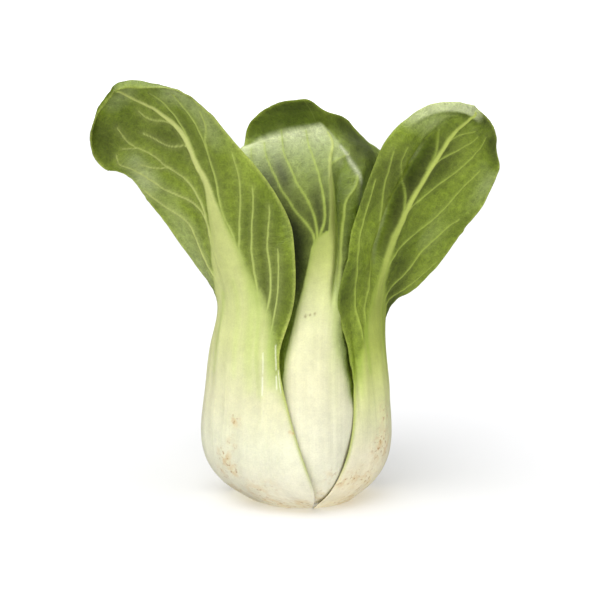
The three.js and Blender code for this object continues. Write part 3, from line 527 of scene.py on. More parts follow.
frontRightLook = {
    "rows": 300, "columns": 75, "seed": 5, "blade": [123, 142, 38], "light": [140, 158, 54],
    "dark": [97, 115, 26], "edge": [178, 192, 90], "rimLeft": 0.3,
    "ramp": [[0, 238, 226, 188], [12, 242, 232, 198], [28, 244, 238, 206], [40, 238, 238, 188],
        [50, 228, 232, 162], [60, 212, 221, 130], [69, 194, 207, 102], [85, 170, 184, 84],
        [110, 178, 192, 90], [140, 190, 204, 98], [185, 180, 194, 90]],
    "petiole": [[0, -1.3, 1.3], [45, -1.15, 1.3], [57, -0.96, 1.2], [66, -0.8, 1.0], [71, -0.68, 0.8],
        [76, -0.54, 0.62], [82, -0.36, 0.5], [87, -0.22, 0.3], [95, -0.14, 0.12], [103, -0.1, 0.05],
        [112, -0.07, 0], [122, -0.04, -0.02], [134, 0, -0.06]],
    "fade": 1.3, "fadeRight": 2, "raise": 0.36, "quilt": 0.6, "veinStrength": 0.75,
    "flutes": [[0.5, 1.5, [[38, -0.66], [52, -0.68], [66, -0.66], [80, -0.58], [94, -0.45]]],
        [-0.7, 1.1, [[40, -0.86], [56, -0.86], [70, -0.82], [86, -0.76]]],
        [0.4, 2, [[40, 0.26], [54, 0.56], [68, 0.56], [84, 0.4]]],
        [-0.35, 1.6, [[36, -0.35], [56, -0.42], [76, -0.36]]],
        [0.3, 2, [[30, -0.1], [56, -0.12], [80, -0.1]]]],
    "soil": [[18, -0.84, 3.5, 0.9], [19, -0.66, 4, 1], [16, -0.42, 5, 1], [30, -0.2, 6, 1],
        [42, -0.1, 5, 0.5], [3, -0.4, 8, 0.7], [4, 0.1, 8, 0.5]],
    # the rolled lip's colour is a painted sheen, with a painted shadow line inside it
    "lip": [156, 0, 4.2, [208, 216, 168], 0.7], "outerOnly": ["patches", "lip"],
    "bands": [[1.2, 0.6, [[52, -0.8], [70, -0.76], [84, -0.62]]],
        [1.2, 0.7, [[60, -0.5], [74, -0.46], [86, -0.32]]],
        [1.5, 0.5, [[56, 0.25], [70, 0.24], [84, 0.2]]]],
    # painted shade and painted sheen of this leaf
    "patches": [[114, 0.42, 14, 9, 1.3], [158, -0.46, 6, 6, 1.5], [166, 0.15, 3, 7, 1.2],
        [146, -0.29, 5, 3, 1.7], [148, 0.92, 10, 4, 1.5], [120, -0.21, 14, 2.5, 1.9],
        [134, -0.7, 12, 9, 0.42], [96, -0.4, 8, 4, 0.8], [86, -0.86, 10, 3, 0.6], [118, -0.68, 8, 6, 1.1],
        [145, -0.1, 8, 2.2, 0.6], [136, -0.1, 8, 2.4, 0.4], [128, -0.09, 8, 2.6, 0.2],
        [118, -0.085, 8, 2.2, 0.25], [109, -0.09, 6, 2, 0.4], [147, 0.12, 11, 6, 0.5],
        [118, 0.26, 9, 5, 0.65], [98, 0.42, 9, 7, 0.45], [88, 0.5, 6, 6, 0.5], [172, 0.3, 4, 11, 0.4],
        [166, 0.85, 6, 5, 0.4], [160, 0.95, 8, 4, 0.6], [149, -0.02, 9, 4, 0.5], [130, -0.12, 6, 2.5, 0.5],
        [141, -0.37, 5, 3, 1.5], [157, -0.9, 5, 4, 1.5], [106, -0.2, 8, 3, 1.3], [100, 0, 6, 4, 0.75],
        [103, 0.2, 5, 4, 0.8], [155, 0.8, 7, 4, 1.2]]}
frontMiddleLook = {
    "rows": 290, "columns": 82, "seed": 8, "blade": [108, 126, 34], "light": [132, 150, 52],
    "dark": [84, 102, 24], "edge": [150, 166, 60],
    "ramp": [[0, 240, 233, 203], [20, 244, 242, 215], [38, 243, 241, 211], [59, 238, 235, 195],
        [79, 235, 235, 184], [90, 228, 232, 166], [100, 212, 219, 138], [108, 196, 206, 116],
        [120, 180, 192, 98], [140, 184, 196, 106], [162, 190, 200, 118]],
    "petiole": [[0, -1.3, 1.3], [40, -1.1, 1.05], [52, -0.8, 0.76], [59, -0.82, 0.74], [67, -0.78, 0.6],
        [75, -0.72, 0.5], [85, -0.6, 0.44], [92, -0.48, 0.34], [103, -0.34, 0.2], [110, -0.27, 0.17],
        [114, -0.2, 0.17], [117, -0.05, 0.17], [127, -0.02, 0.13], [135, -0.02, 0.05], [145, 0.05, -0.05]],
    "fade": 0.5, "fadeRight": 2.4, "greenRight": 0.45, "raise": 0.3, "quilt": 0.45, "veinStrength": 0.78,
    "flutes": [[0.2, 3, [[30, -0.2], [60, -0.25], [90, -0.14]]],
        [-0.2, 3, [[30, 0.2], [60, 0.2], [84, 0.1]]]],
    "soil": [[8, 0, 6, 0.5], [20, 0.3, 4, 0.4]],
    "midribShade": [[112, 1], [118, 0.7], [140, 0.7], [149, 1]],
    "outerOnly": ["patches", "crease", "gleam"],
    # painted shade above the crease and painted sheen below it
    "crease": [[[-1, 156.7], [-0.9, 158.1], [-0.8, 159.3], [-0.5, 160.3], [0.2, 160.8], [0.26, 157],
        [0.32, 146], [1, 138]], 0.82, [224, 232, 184], 0.85, 9],
    # a painted highlight line along the fold
    "gleam": [[0.9, 0.35, [[151, 0.16], [147, 0.21], [142, 0.3], [138.5, 0.37], [135, 0.44]]]],
    "bands": [[3, 0.35, [[30, 0.28], [52, 0.28], [68, 0.3]]], [3, 0.5, [[70, 0.46], [84, 0.3], [96, 0.2]]]],
    # painted shade and painted sheen of this leaf
    "patches": [[114, -0.56, 15, 7, 0.08], [96, -0.6, 10, 5, 0.3], [118, -0.13, 13, 4, 0.32],
        [139, -0.5, 8, 5, 0.5], [138, -0.68, 6, 5, 0.5], [130, -0.2, 14, 5, 0.85], [150, 0.42, 8, 6, 0.45],
        [156, 0.6, 6, 7, 0.5], [163, 0.74, 3, 3, 1.6], [95, 0.46, 14, 4, 0.5], [84, 0.76, 8, 4, 0.5],
        [136, 0.2, 7, 4, 0.85], [76, 0.6, 16, 4, 1.5], [172, -0.2, 4, 14, 0.6], [163, 0.95, 5, 6, 0.6],
        [140, -0.52, 8, 3, 0.42], [146, 0.3, 8, 3, 0.6], [145, 0.14, 4, 2, 1.4], [132, 0.47, 6, 3, 1.6],
        [121, -0.14, 14, 3, 0.42]],
    "dots": [[83, -0.38, 0.5], [83.6, -0.29, 0.4], [84, -0.2, 0.45], [83.2, -0.33, 0.25]]}
hiddenLook = {
    "rows": 150, "columns": 32, "blade": [104, 120, 38], "light": [130, 146, 58],
    "dark": [78, 94, 28], "edge": [180, 192, 96], "rampLength": 180,
    "ramp": [[0, 216, 206, 174], [12, 226, 220, 190], [30, 236, 234, 204], [50, 232, 231, 184],
        [66, 218, 223, 152], [84, 204, 212, 128], [110, 190, 200, 112], [140, 180, 190, 104],
        [185, 176, 188, 98]],
    "petiole": [[0, -1.3, 1.3], [0.42, -1.2, 1.2], [0.5, -0.8, 0.8], [0.58, -0.5, 0.5], [0.66, -0.28, 0.28],
        [0.75, -0.1, 0.1], [0.9, 0.04, -0.04], [1, 0.04, -0.04]],
    "fade": 1.5, "raise": 0.34, "quilt": 0.55, "veinStrength": 0.62,
    "flutes": [[0.3, 2.5, [[30, 0.3], [60, 0.32], [80, 0.25]]],
        [0.3, 2.5, [[30, -0.3], [56, -0.34], [80, -0.2]]], [-0.25, 2, [[30, 0.6], [60, 0.56]]],
        [-0.25, 2, [[30, -0.6], [60, -0.56]]]],
    "soil": [[14, -0.3, 6, 0.7], [20, 0.35, 6, 0.7], [4, 0, 8, 0.6]]}
heartLook = {
    "rows": 110, "columns": 24, "blade": [158, 172, 78], "light": [190, 200, 112], "dark": [130, 146, 60],
    "edge": [200, 208, 124], "soil": []}


# tones of the leaf, among them the colours of painted sheen and of painted highlight lines
tones = {
    "sheenPaint": [186, 196, 140], "margin": [158, 180, 66], "stain": [222, 200, 150], "gleam": [250, 252, 226],
    "dot": [126, 104, 48], "band": [0.76, 0.88, 0.55], "back": [0.8, 0.84, 0.8]}


def linear(colour):
    c = np.asarray(colour, float) / 255
    return np.where(c <= 0.04045, c / 12.92, ((c + 0.055) / 1.055) ** 2.4)


def blend(a, b, share):
    return a + (b - a) * np.asarray(share)[..., None]


def fromPoint(surface, along, share):
    # mm to the right of and above a point of the flat leaf, for each of its points
    x, y = surface["flat"][..., 0], surface["flat"][..., 1]
    half = np.interp(along, y[:, 0], x[:, -1] if share > 0 else -x[:, 0])
    return x - share * half, y - along


def spots(surface, marks):
    # soft round patches [mm along, share of the half width, radius, strength]
    field = np.zeros(surface["q"].shape)
    for along, share, radius, strength in marks:
        right, above = fromPoint(surface, along, share)
        field = np.maximum(field, strength * np.exp(-(right ** 2 + above ** 2) / radius ** 2))
    return field


def patches(surface, look):
    # painted shade and painted sheen: how many times lighter or darker the wide patches make the blade
    field = np.zeros(surface["q"].shape)
    for along, share, length, width, times in look.get("patches", []):
        right, above = fromPoint(surface, along, share)
        field += math.log(times) * np.exp(-(right / width) ** 2 - (above / length) ** 2)
    return np.exp(field)


def lineMarks(surface, marks):
    # thin soft lines: [half width, strength, [[mm along, share], ...]]
    flat, field = surface["flat"].reshape(-1, 2), np.zeros(surface["q"].size)
    for width, strength, points in marks:
        line = smoothLine(points, (1, 1), surface)
        distance = nearestOnLines(flat, [line], reach=4 * width + 1)[0]
        field = np.maximum(field, strength * np.exp(-(np.minimum(distance, 30) / width) ** 2))
    return field.reshape(surface["q"].shape)


def lipShare(surface, look):
    # 1 on the rolled margin of the tip, and 1 on the line inside it, sunk as a groove and painted as a shadow
    start, end, width = look["lip"][:3]
    q, away = surface["q"], surface["away"]
    window = smooth(start - 4, start + 8, surface["flat"][..., 1]) * (1 - smooth(end - 0.2, end + 0.3, q))
    line = np.exp(-((away - width - 0.9) / 1.1) ** 2)
    return window * smooth(width + 0.7, width - 0.9, away), window * line


def creaseRise(surface, look):
    # mm above the line where the top of the blade bends back
    return surface["flat"][..., 1] - lookUp(look["crease"][0], surface["q"])


def paintedLightAndShade(surface, look):
    # painted light and shade: how many times lighter or darker the blade is than its own colour
    times = patches(surface, look)
    # painted shade over the top of the blade above the crease
    if "crease" in look:
        times = times * (1 + (look["crease"][1] - 1) * smooth(0, 3, creaseRise(surface, look)))
    # painted shadow line inside the rolled lip
    if "lip" in look:
        times = times * (1 - 0.35 * lipShare(surface, look)[1])
    return times


def paintedSheen(surface, look, blade):
    # painted sheen: the pale look painted on the lighter patches, on the rolled margin and on the part under
    # the crease
    lighter = np.log(np.maximum(patches(surface, look), 1))
    blade = blend(blade, linear(tones["sheenPaint"]), np.minimum(0.85 * lighter, 0.9))
    # painted sheen on the rolled lip
    if "lip" in look:
        blade = blend(blade, linear(look["lip"][3]), look["lip"][4] * lipShare(surface, look)[0])
    # painted sheen on the part under the crease
    if "crease" in look:
        _, _, colour, share, reach = look["crease"]
        rise = creaseRise(surface, look)
        share = share * smooth(-2.5, 0.5, -rise) * np.exp(np.minimum(rise, 0) / reach)
        blade = blend(blade, linear(colour), share * (1 - smooth(0.1, 0.22, surface["q"])))
    return blade


def paleField(surface, look, veins):
    # pale is 1 on the petiole and the veins and falls to 0 on the blade
    # also the petiole alone, and the green of its margins
    x, y, q, flat = surface["flat"][..., 0], surface["flat"][..., 1], surface["q"], surface["flat"]
    edges = np.array(look["petiole"], float)
    if edges[-1, 0] <= 1:
        edges[:, 0] *= surface["length"]
    low, high = lookUp(edges, y), lookUp(edges, y, 2)
    half = np.where(q < 0, -flat[:, :1, 0], flat[:, -1:, 0])
    nearLeft = q - low < high - q
    depth = np.minimum(q - low, high - q) * half + rumple(look["seed"] + 40, 5, 6, 22)(x, y * 0.35) * 0.4
    fade = np.where(nearLeft, look["fade"], look.get("fadeRight", look["fade"]))
    fade = fade * (1 - 0.6 * smooth(88, 122, y))
    petiole = smooth(-fade, fade, depth)
    strength = look["veinStrength"] * (1 + 0.3 * smooth(60, 85, y) * (1 - smooth(105, 150, y)))
    side = np.maximum(veins["side"] * strength, veins["glow"] * strength * 0.25)
    pale = np.clip(np.maximum(np.maximum(petiole, veins["middle"]), side), 0, 1)
    green = np.where(nearLeft, look.get("greenLeft", 0.6), look.get("greenRight", 0.6))
    return pale, petiole, green * np.exp(-(np.maximum(depth, 0) / (1.2 + fade)) ** 2)


def leafColours(surface, look, veins):
    # the tone of each point with its painted light and shade, how pale and how much petiole it is, its soil,
    # and how dull its painted-shade parts are
    x, y, q = surface["flat"][..., 0], surface["flat"][..., 1], surface["q"]
    seed = look["seed"]
    height = y * (look["rampLength"] / surface["length"] if "rampLength" in look else 1)
    pale, petiole, greener = paleField(surface, look, veins)
    ramp = np.array(look["ramp"], float)
    paleTone = np.stack([np.interp(height, ramp[:, 0], linear(ramp[:, k + 1])) for k in range(3)], -1)
    shade = 0.6 * rumple(seed + 1, 7, 16, 44)(x, y) + 0.15 * rumple(seed + 2, 9, 5, 14)(x, y)
    blade = blend(linear(look["blade"]), linear(look["light"]), np.clip(shade, 0, 1) * 0.9)
    blade = blend(blade, linear(look["dark"]), np.clip(-shade, 0, 1) * 0.9)
    middle = lookUp(look.get("midribShade", [[0, 1]]), y)
    paleTone = paleTone * (1 - (1 - middle) * veins["middle"])[..., None]
    greener = greener * smooth(40, 60, height)
    paleTone = blend(paleTone, linear(tones["margin"]), greener * (1 - veins["middle"]))
    bands = lineMarks(surface, look.get("bands", [])) * smooth(34, 72, y)
    paleTone = blend(paleTone, paleTone * tones["band"], bands * petiole)
    shoulder = 1 - 0.22 * np.clip(veins["glow"] - veins["side"] - veins["middle"], 0, 1)
    # painted light and shade: painted shade darkens the blade and painted sheen pales it
    times = paintedLightAndShade(surface, look)
    blade = paintedSheen(surface, look, blade * (np.minimum(times, 1) * shoulder)[..., None])
    tone = blend(blade, paleTone, pale)
    rim = np.exp(-(surface["away"] / 0.9) ** 2) * smooth(14, 30, y)
    rim = rim * np.where((q < 0) & (y > 55), look.get("rimLeft", 1), 1)
    tone = blend(tone, linear(look["edge"]), rim * np.where(height > 85, 0.5, 0.8))
    streak = rumple(seed + 3, 9, 2.2, 9)(x, y * 0.05)
    tone = tone * (1 + (0.02 * streak - 0.08) * petiole)[..., None]
    soil = spots(surface, look["soil"])
    tone = blend(tone, linear(tones["stain"]), 0.2 * soil)
    # painted highlight lines
    tone = blend(tone, linear(tones["gleam"]), lineMarks(surface, look.get("gleam", [])))
    dots = spots(surface, [[*dot, 0.8] for dot in look.get("dots", [])])
    tone = blend(tone, linear(tones["dot"]), dots)
    return tone, pale, petiole, soil, np.clip(1 - times, 0, 1) * (1 - pale)


# pillow: mm from a vein to where the blade is at its full depth; lip: mm of the rolled margin and its line
# small, wide, fine, fibre, wave: mm of unevenness, of the petiole's fine and broad fibres and of the margin
# waveReach: mm that the wave reaches in; calmMargin: mm over which the petiole's margin is left smooth
skin = {"pillow": 3.6, "lip": 0.5, "small": 0.12, "wide": 0.25, "fine": 0.03, "fibre": 0.1, "wave": 0.3,
        "waveReach": 4, "calmMargin": [0.5, 5]}


def relief(surface, look, veins, petiole):
    # how far the outer face stands out, in mm
    x, y = surface["flat"][..., 0], surface["flat"][..., 1]
    seed, blade = look["seed"], 1 - petiole
    pillow = 1 - np.exp(-(veins["gap"] / skin["pillow"]) ** 2)
    lip, line = lipShare(surface, look) if "lip" in look else (0, 0)
    out = skin["lip"] * lip - skin["lip"] * line
    out = out + look["raise"] * np.maximum(veins["side"], veins["middle"]) * (0.2 + 0.8 * blade)
    out = out - look["quilt"] * blade * pillow * (0.7 + 0.2 * rumple(seed + 6, 7, 6, 14)(x, y))
    out = out + skin["small"] * blade * rumple(seed + 7, 9, 3, 8)(x, y)
    out = out + skin["wide"] * rumple(seed + 8, 6, 16, 44)(x, y * 0.6)
    calm = 1 - petiole * (1 - smooth(*skin["calmMargin"], surface["away"]))
    fine, wide = rumple(seed + 9, 8, 1.6, 5)(x, y * 0.03), rumple(seed + 10, 6, 6, 18)(x, y * 0.2)
    out = out * calm + petiole * (skin["fine"] * fine + skin["fibre"] * wide)
    flat = surface["flat"].reshape(-1, 2)
    for height, width, points in look["flutes"]:
        line = smoothLine(points, (1, 1), surface)
        ends = smooth(line[0, 1], line[0, 1] + 14, y) * (1 - smooth(line[-1, 1] - 14, line[-1, 1], y))
        distance = nearestOnLines(flat, [line], reach=3 * width)[0].reshape(x.shape)
        out = out + height * ends * np.exp(-(np.minimum(distance, 30) / width) ** 2)
    margin = np.exp(-(surface["away"] / skin["waveReach"]) ** 2) * blade
    return out + skin["wave"] * margin * rumple(seed + 12, 6, 12, 30)(x * 0.5, y)


def addAttribute(mesh, name, kind, values):
    layer = mesh.attributes.new(name, kind, "POINT")
    field = {"FLOAT": "value", "FLOAT_VECTOR": "vector", "FLOAT_COLOR": "color"}[kind]
    layer.data.foreach_set(field, np.asarray(values, np.float32).ravel())


def meshFrom(name, points, quads, triangles=()):
    mesh = bpy.data.meshes.new(name)
    quads = np.asarray(quads, np.int32).reshape(-1, 4)
    triangles = np.asarray(triangles, np.int32).reshape(-1, 3)
    mesh.vertices.add(len(points))
    mesh.vertices.foreach_set("co", np.asarray(points, np.float32).ravel())
    loops = np.concatenate([quads.ravel(), triangles.ravel()])
    mesh.loops.add(len(loops))
    mesh.loops.foreach_set("vertex_index", loops)
    mesh.polygons.add(len(quads) + len(triangles))
    sizes = np.concatenate([np.full(len(quads), 4), np.full(len(triangles), 3)])
    mesh.polygons.foreach_set("loop_start", np.concatenate([[0], np.cumsum(sizes)[:-1]]).astype(np.int32))
    mesh.polygons.foreach_set("use_smooth", np.ones(len(sizes), bool))
    mesh.update(calc_edges=True)
    mesh.validate()
    mesh.set_sharp_from_angle(angle=math.radians(55))
    piece = bpy.data.objects.new(name, mesh)
    bpy.context.scene.collection.objects.link(piece)
    return piece


def shell(outer, inner):
    # quads of the closed body between two grids of points
    rows, wide = outer.shape[:2]
    at = np.arange(rows * wide).reshape(rows, wide)
    behind = rows * wide
    front = np.stack([at[:-1, :-1], at[:-1, 1:], at[1:, 1:], at[1:, :-1]], -1).reshape(-1, 4)
    back = front[:, ::-1] + behind
    ring = np.concatenate([at[0, :-1], at[:-1, -1], at[-1, :0:-1], at[:0:-1, 0]])
    onward = np.roll(ring, -1)
    wall = np.stack([ring, ring + behind, onward + behind, onward], -1)
    return np.concatenate([outer.reshape(-1, 3), inner.reshape(-1, 3)]), np.concatenate([front, back, wall])


# round: mm over which the margin rounds over, on the blade and how much more on the petiole
# least: share of the thickness left at the margin, and how much less on the petiole
# thinner: mm that the blade is thinner than the solid's; vein: mm that side veins are sunk in the inner face
margins = {"round": [0.5, 2.2], "least": [0.3, 0.15], "thinner": 0.25, "vein": 0.2}


def makeLeaf(node, leaf, look, veins):
    surface = leafSurface(leaf, look["rows"], look["columns"])
    seed = look["seed"]
    x, y = surface["flat"][..., 0], surface["flat"][..., 1]
    wander = 0.15 * rumple(seed + 20, 6, 9, 24)(x, y)
    field = veinField(veins, surface, wander)
    tone, pale, petiole, soil, dull = leafColours(surface, look, field)
    innerTone, innerDull = tone, dull
    if "outerOnly" in look:
        plain = {key: value for key, value in look.items() if key not in look["outerOnly"]}
        innerTone, _, _, _, innerDull = leafColours(surface, plain, field)
    stand = relief(surface, look, field, petiole)
    through = surface["through"]
    fleshy = petiole * smooth(8, 24, y)  # the petiole's margin rounds over, the blade's is blunt
    (onBlade, onPetiole), (least, lower) = margins["round"], margins["least"]
    edge = np.clip(surface["away"] / (onBlade + onPetiole * fleshy), 0, 1)
    edge = np.where(y < 2, 1, edge)  # the foot of the leaf stays full
    keep = np.maximum(np.sqrt(1 - (1 - edge) ** 2), least - lower * fleshy)
    thick = surface["thick"] - margins["thinner"] * (1 - petiole)
    outer = surface["point"] + through * stand[..., None]
    lost = thick * (1 - keep)
    inner = outer - through * (thick - lost * (1 - fleshy) / 2)[..., None]
    outer = outer - through * (lost * (1 + fleshy) / 2)[..., None]
    sunk = margins["vein"] * field["side"] * (1 - petiole) * np.minimum(edge, 1)
    inner = inner + through * sunk[..., None]
    points, quads = shell(outer * mm, inner * mm)
    piece = meshFrom(node + "_look", points, quads)
    mesh = piece.data
    darker = innerTone * blend(np.array(look.get("back", tones["back"])), np.ones(3), pale * 0.7)
    both = np.concatenate([tone.reshape(-1, 3), darker.reshape(-1, 3)])
    addAttribute(mesh, "tone", "FLOAT_COLOR", np.concatenate([both, np.ones((len(both), 1))], 1))
    addAttribute(mesh, "pale", "FLOAT", np.tile(pale.ravel(), 2))
    addAttribute(mesh, "petiole", "FLOAT", np.tile(petiole.ravel(), 2))
    flat = np.concatenate([surface["flat"], 0 * x[..., None]], -1).reshape(-1, 3)
    addAttribute(mesh, "flat", "FLOAT_VECTOR", np.concatenate([flat, flat + [0, 0, 60]]))
    addAttribute(mesh, "soil", "FLOAT", np.tile(soil.ravel(), 2))
    addAttribute(mesh, "dull", "FLOAT", np.concatenate([dull.ravel(), innerDull.ravel()]))
    return piece

# materials
leafFinish = {
    "bladeRoughness": 0.44, "petioleRoughness": 0.38, "dull": 0.5, "specular": 0.3,
    "cell": 2.4, "network": 0.18,  # the fine net of veins: mm across a cell, and how light its lines are
    # unevenness of the colour: [waves in a mm, how much lighter or darker, share of it on pale parts]
    "mottle": [0.12, 0.06], "uneven": [0.45, 0.18, 0.2], "grain": [1.6, 0.15, 0.3],
    "fibre": [1.1, 0.018], "fibreStretch": (1.0, 0.035, 1.0),
    "under": 0.1, "underColour": [0.8, 1.0, 0.4], "underDepth": 0.002,  # light that goes in under the skin
    "bump": [0.0002, 0.9], "bumpNet": 0.6, "bumpGrain": [0.5, 0.12], "bumpFibre": 0.5,
    "soil": [178, 136, 76], "fleckRange": [0.57, 0.65], "stain": [220, 194, 142], "stainRange": [0.47, 0.6],
    "strongest": 0.7}  # of the stains and the flecks


class Nodes:
    # short ways to add and join shader nodes
    def __init__(self, tree):
        tree.nodes.clear()
        self.tree = tree

    def put(self, socket, value):
        if isinstance(value, bpy.types.NodeSocket):
            self.tree.links.new(value, socket)
        else:
            socket.default_value = value

    def add(self, kind, inputs=(), **settings):
        # a node, what it is set to, and the values or other nodes' sockets that go into it
        node = self.tree.nodes.new("ShaderNode" + kind)
        for name, value in settings.items():
            setattr(node, name, value)
        for key, value in dict(inputs).items():
            self.put(node.inputs[key], value)
        return node

    def attribute(self, name, output="Fac"):
        return self.add("Attribute", attribute_name=name).outputs[output]

    def math(self, kind, a, b=0.0):
        return self.add("Math", enumerate((a, b)), operation=kind).outputs[0]

    def mix(self, share, a, b, kind="MIX"):
        return self.add("Mix", {0: share, 6: a, 7: b}, data_type="RGBA", blend_type=kind).outputs[2]

    def range(self, value, low, high, bottom, top):
        return self.add("MapRange", enumerate((value, low, high, bottom, top))).outputs[0]

    def scaled(self, vector, scale):
        return self.add("VectorMath", enumerate((vector, scale)), operation="MULTIPLY").outputs[0]

    def noise(self, vector, scale, detail=3.0, distortion=0.0, output="Fac"):
        inputs = {"Vector": vector, "Scale": scale, "Detail": detail, "Distortion": distortion}
        return self.add("TexNoise", inputs).outputs[output]

    def cells(self, vector, scale):
        inputs = {"Vector": vector, "Scale": scale}
        return self.add("TexVoronoi", inputs, feature="DISTANCE_TO_EDGE").outputs[0]

    def bump(self, height, distance, strength):
        inputs = {"Height": height, "Distance": distance, "Strength": strength}
        return self.add("Bump", inputs).outputs[0]


def nodeMaterial(name):
    material = bpy.data.materials.new(name)
    material.use_nodes = True
    n = Nodes(material.node_tree)
    output, shader = n.add("OutputMaterial"), n.add("BsdfPrincipled")
    n.put(output.inputs[0], shader.outputs[0])
    return material, n, shader, output


def leafMaterial(name, finish):
    material, n, shader, _ = nodeMaterial(name)
    flat, tone = n.attribute("flat", "Vector"), n.attribute("tone", "Color")
    pale, petiole, soil, dull = (n.attribute(a) for a in ("pale", "petiole", "soil", "dull"))
    blade = n.math("SUBTRACT", 1.0, pale)
    # the fine net of veins between the named ones
    warp = n.noise(flat, 0.35, 2.0, output="Color")
    warped = n.mix(0.12, flat, warp, "LINEAR_LIGHT")
    net = n.range(n.cells(warped, 1 / finish["cell"]), 0.0, 0.16, 1.0, 0.0)
    small = n.range(n.cells(warped, 2.6 / finish["cell"]), 0.0, 0.2, 1.0, 0.0)
    net = n.math("ADD", n.math("MULTIPLY", net, 0.7), n.math("MULTIPLY", small, 0.3))
    net = n.math("MULTIPLY", net, blade)
    # soft unevenness from the widest to the finest, and fibres drawn out along the petiole
    scale, amount = finish["mottle"]
    mottle = n.range(n.noise(flat, scale, 4.0), 0.3, 0.7, 1 - amount, 1 + amount)
    light = n.math("ADD", mottle, n.math("MULTIPLY", net, finish["network"]))
    grain, patchy = n.noise(flat, finish["grain"][0]), n.noise(flat, finish["uneven"][0])
    both = []
    for noise, (_, amount, onPale) in ((grain, finish["grain"]), (patchy, finish["uneven"])):
        calmer = n.range(pale, 0.0, 1.0, 1.0, onPale)
        both.append(n.math("MULTIPLY", n.range(noise, 0.3, 0.7, -amount, amount), calmer))
    light = n.math("ADD", light, n.math("ADD", *both))
    scale, amount = finish["fibre"]
    fibre = n.noise(n.scaled(flat, finish["fibreStretch"]), scale)
    streaks = n.math("MULTIPLY", n.range(fibre, 0.3, 0.7, -1.0, 1.0), n.math("MULTIPLY", petiole, amount))
    light = n.math("ADD", light, streaks)
    grey = n.add("CombineColor", enumerate((light, light, light))).outputs[0]
    colour = n.mix(1.0, tone, grey, "MULTIPLY")
    # brown stains and darker flecks where there is soil
    dirty = n.range(soil, 0.05, 0.7, 0.0, 1.0)
    stain = n.range(n.noise(flat, 0.26, 4.0, 0.3), *finish["stainRange"], 0.0, finish["strongest"])
    colour = n.mix(n.math("MULTIPLY", stain, dirty), colour, (*linear(finish["stain"]), 1))
    fleck = n.range(n.noise(flat, 0.6, 4.0), *finish["fleckRange"], 0.0, finish["strongest"])
    colour = n.mix(n.math("MULTIPLY", fleck, dirty), colour, (*linear(finish["soil"]), 1))
    n.put(shader.inputs["Base Color"], colour)
    rough = n.range(petiole, 0.0, 1.0, finish["bladeRoughness"], finish["petioleRoughness"])
    rough = n.math("ADD", rough, n.math("MULTIPLY", dull, finish["dull"]))
    n.put(shader.inputs["Roughness"], n.math("ADD", rough, n.range(grain, 0.3, 0.7, -0.05, 0.05)))
    grainHeight = n.math("MULTIPLY", grain, n.range(pale, 0.0, 1.0, *finish["bumpGrain"]))
    fibreHeight = n.math("MULTIPLY", fibre, n.math("MULTIPLY", petiole, finish["bumpFibre"]))
    height = n.math("ADD", n.math("MULTIPLY", net, finish["bumpNet"]), grainHeight)
    height = n.math("ADD", height, fibreHeight)
    n.put(shader.inputs["Normal"], n.bump(height, *finish["bump"]))
    n.put(shader.inputs["Specular IOR Level"], finish["specular"])
    n.put(shader.inputs["Subsurface Weight"], finish["under"])
    n.put(shader.inputs["Subsurface Radius"], finish["underColour"])
    n.put(shader.inputs["Subsurface Scale"], finish["underDepth"])
    return material


outerMaterial = leafMaterial("outer_leaf_skin", leafFinish)
innerMaterial = leafMaterial("inner_leaf_skin", leafFinish)
heartMaterial = leafMaterial("heart_leaf_skin", leafFinish)

# pieces

def place(piece, node, slot, material):
    piece.data.materials.append(material)
    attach(piece, "root")
    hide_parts(node)
    return piece


front = [("leaf_front_left", frontLeft, frontLeftLook, frontLeftVeins),
         ("leaf_front_right", frontRight, frontRightLook, frontRightVeins),
         ("leaf_front_middle", frontMiddle, frontMiddleLook, frontMiddleVeins)]
for node, leaf, look, veins in front:
    place(makeLeaf(node, leaf, look, veins), node, "outer_leaf", outerMaterial)
print("front leaves built")

finer = {"rows": 190, "columns": 48}
hidden = [
    ("leaf_back", backLeaf, "outer_leaf", outerMaterial, 21, finer),
    ("leaf_side_left", sideLeftLeaf, "outer_leaf", outerMaterial, 22, finer),
    ("leaf_back_right", backRightLeaf, "outer_leaf", outerMaterial, 23, finer),
    ("inner_leaf_back", innerBackLeaf, "inner_leaf", innerMaterial, 24, {}),
    ("inner_leaf_left", innerLeftLeaf, "inner_leaf", innerMaterial, 25, {}),
    ("inner_leaf_right", innerRightLeaf, "inner_leaf", innerMaterial, 26, {}),
    ("heart_leaf_front", heartFrontLeaf, "heart_leaf", heartMaterial, 27, heartLook),
    ("heart_leaf_back", heartBackLeaf, "heart_leaf", heartMaterial, 28, heartLook)]
for node, leaf, slotName, material, seed, changes in hidden:
    look = {**hiddenLook, **changes, "seed": seed}
    length = np.sum(np.hypot(*np.diff(np.array(leaf["table"])[:, :2], axis=0).T))
    veins = grownVeins(seed, length, 4 if length < 80 else 5)
    place(makeLeaf(node, leaf, look, veins), node, slotName, material)
print("back, inner and heart leaves built")

# the stem: radius and height of its outline, from the cut base up to the dome
stemProfile = [[11.5, 0], [11, 1.8], [9.6, 3.4], [7.9, 5.4], [6.9, 8], [4.6, 10], [0, 11.2]]
# rings: mm between its faint rings; rim: where the cut browns towards its edge, in metres from the middle
stemLook = {"sides": 96, "white": [232, 228, 206], "brown": [196, 178, 138], "rings": 2.6,
            "rim": [0.0095, 0.0115], "roughness": 0.6}


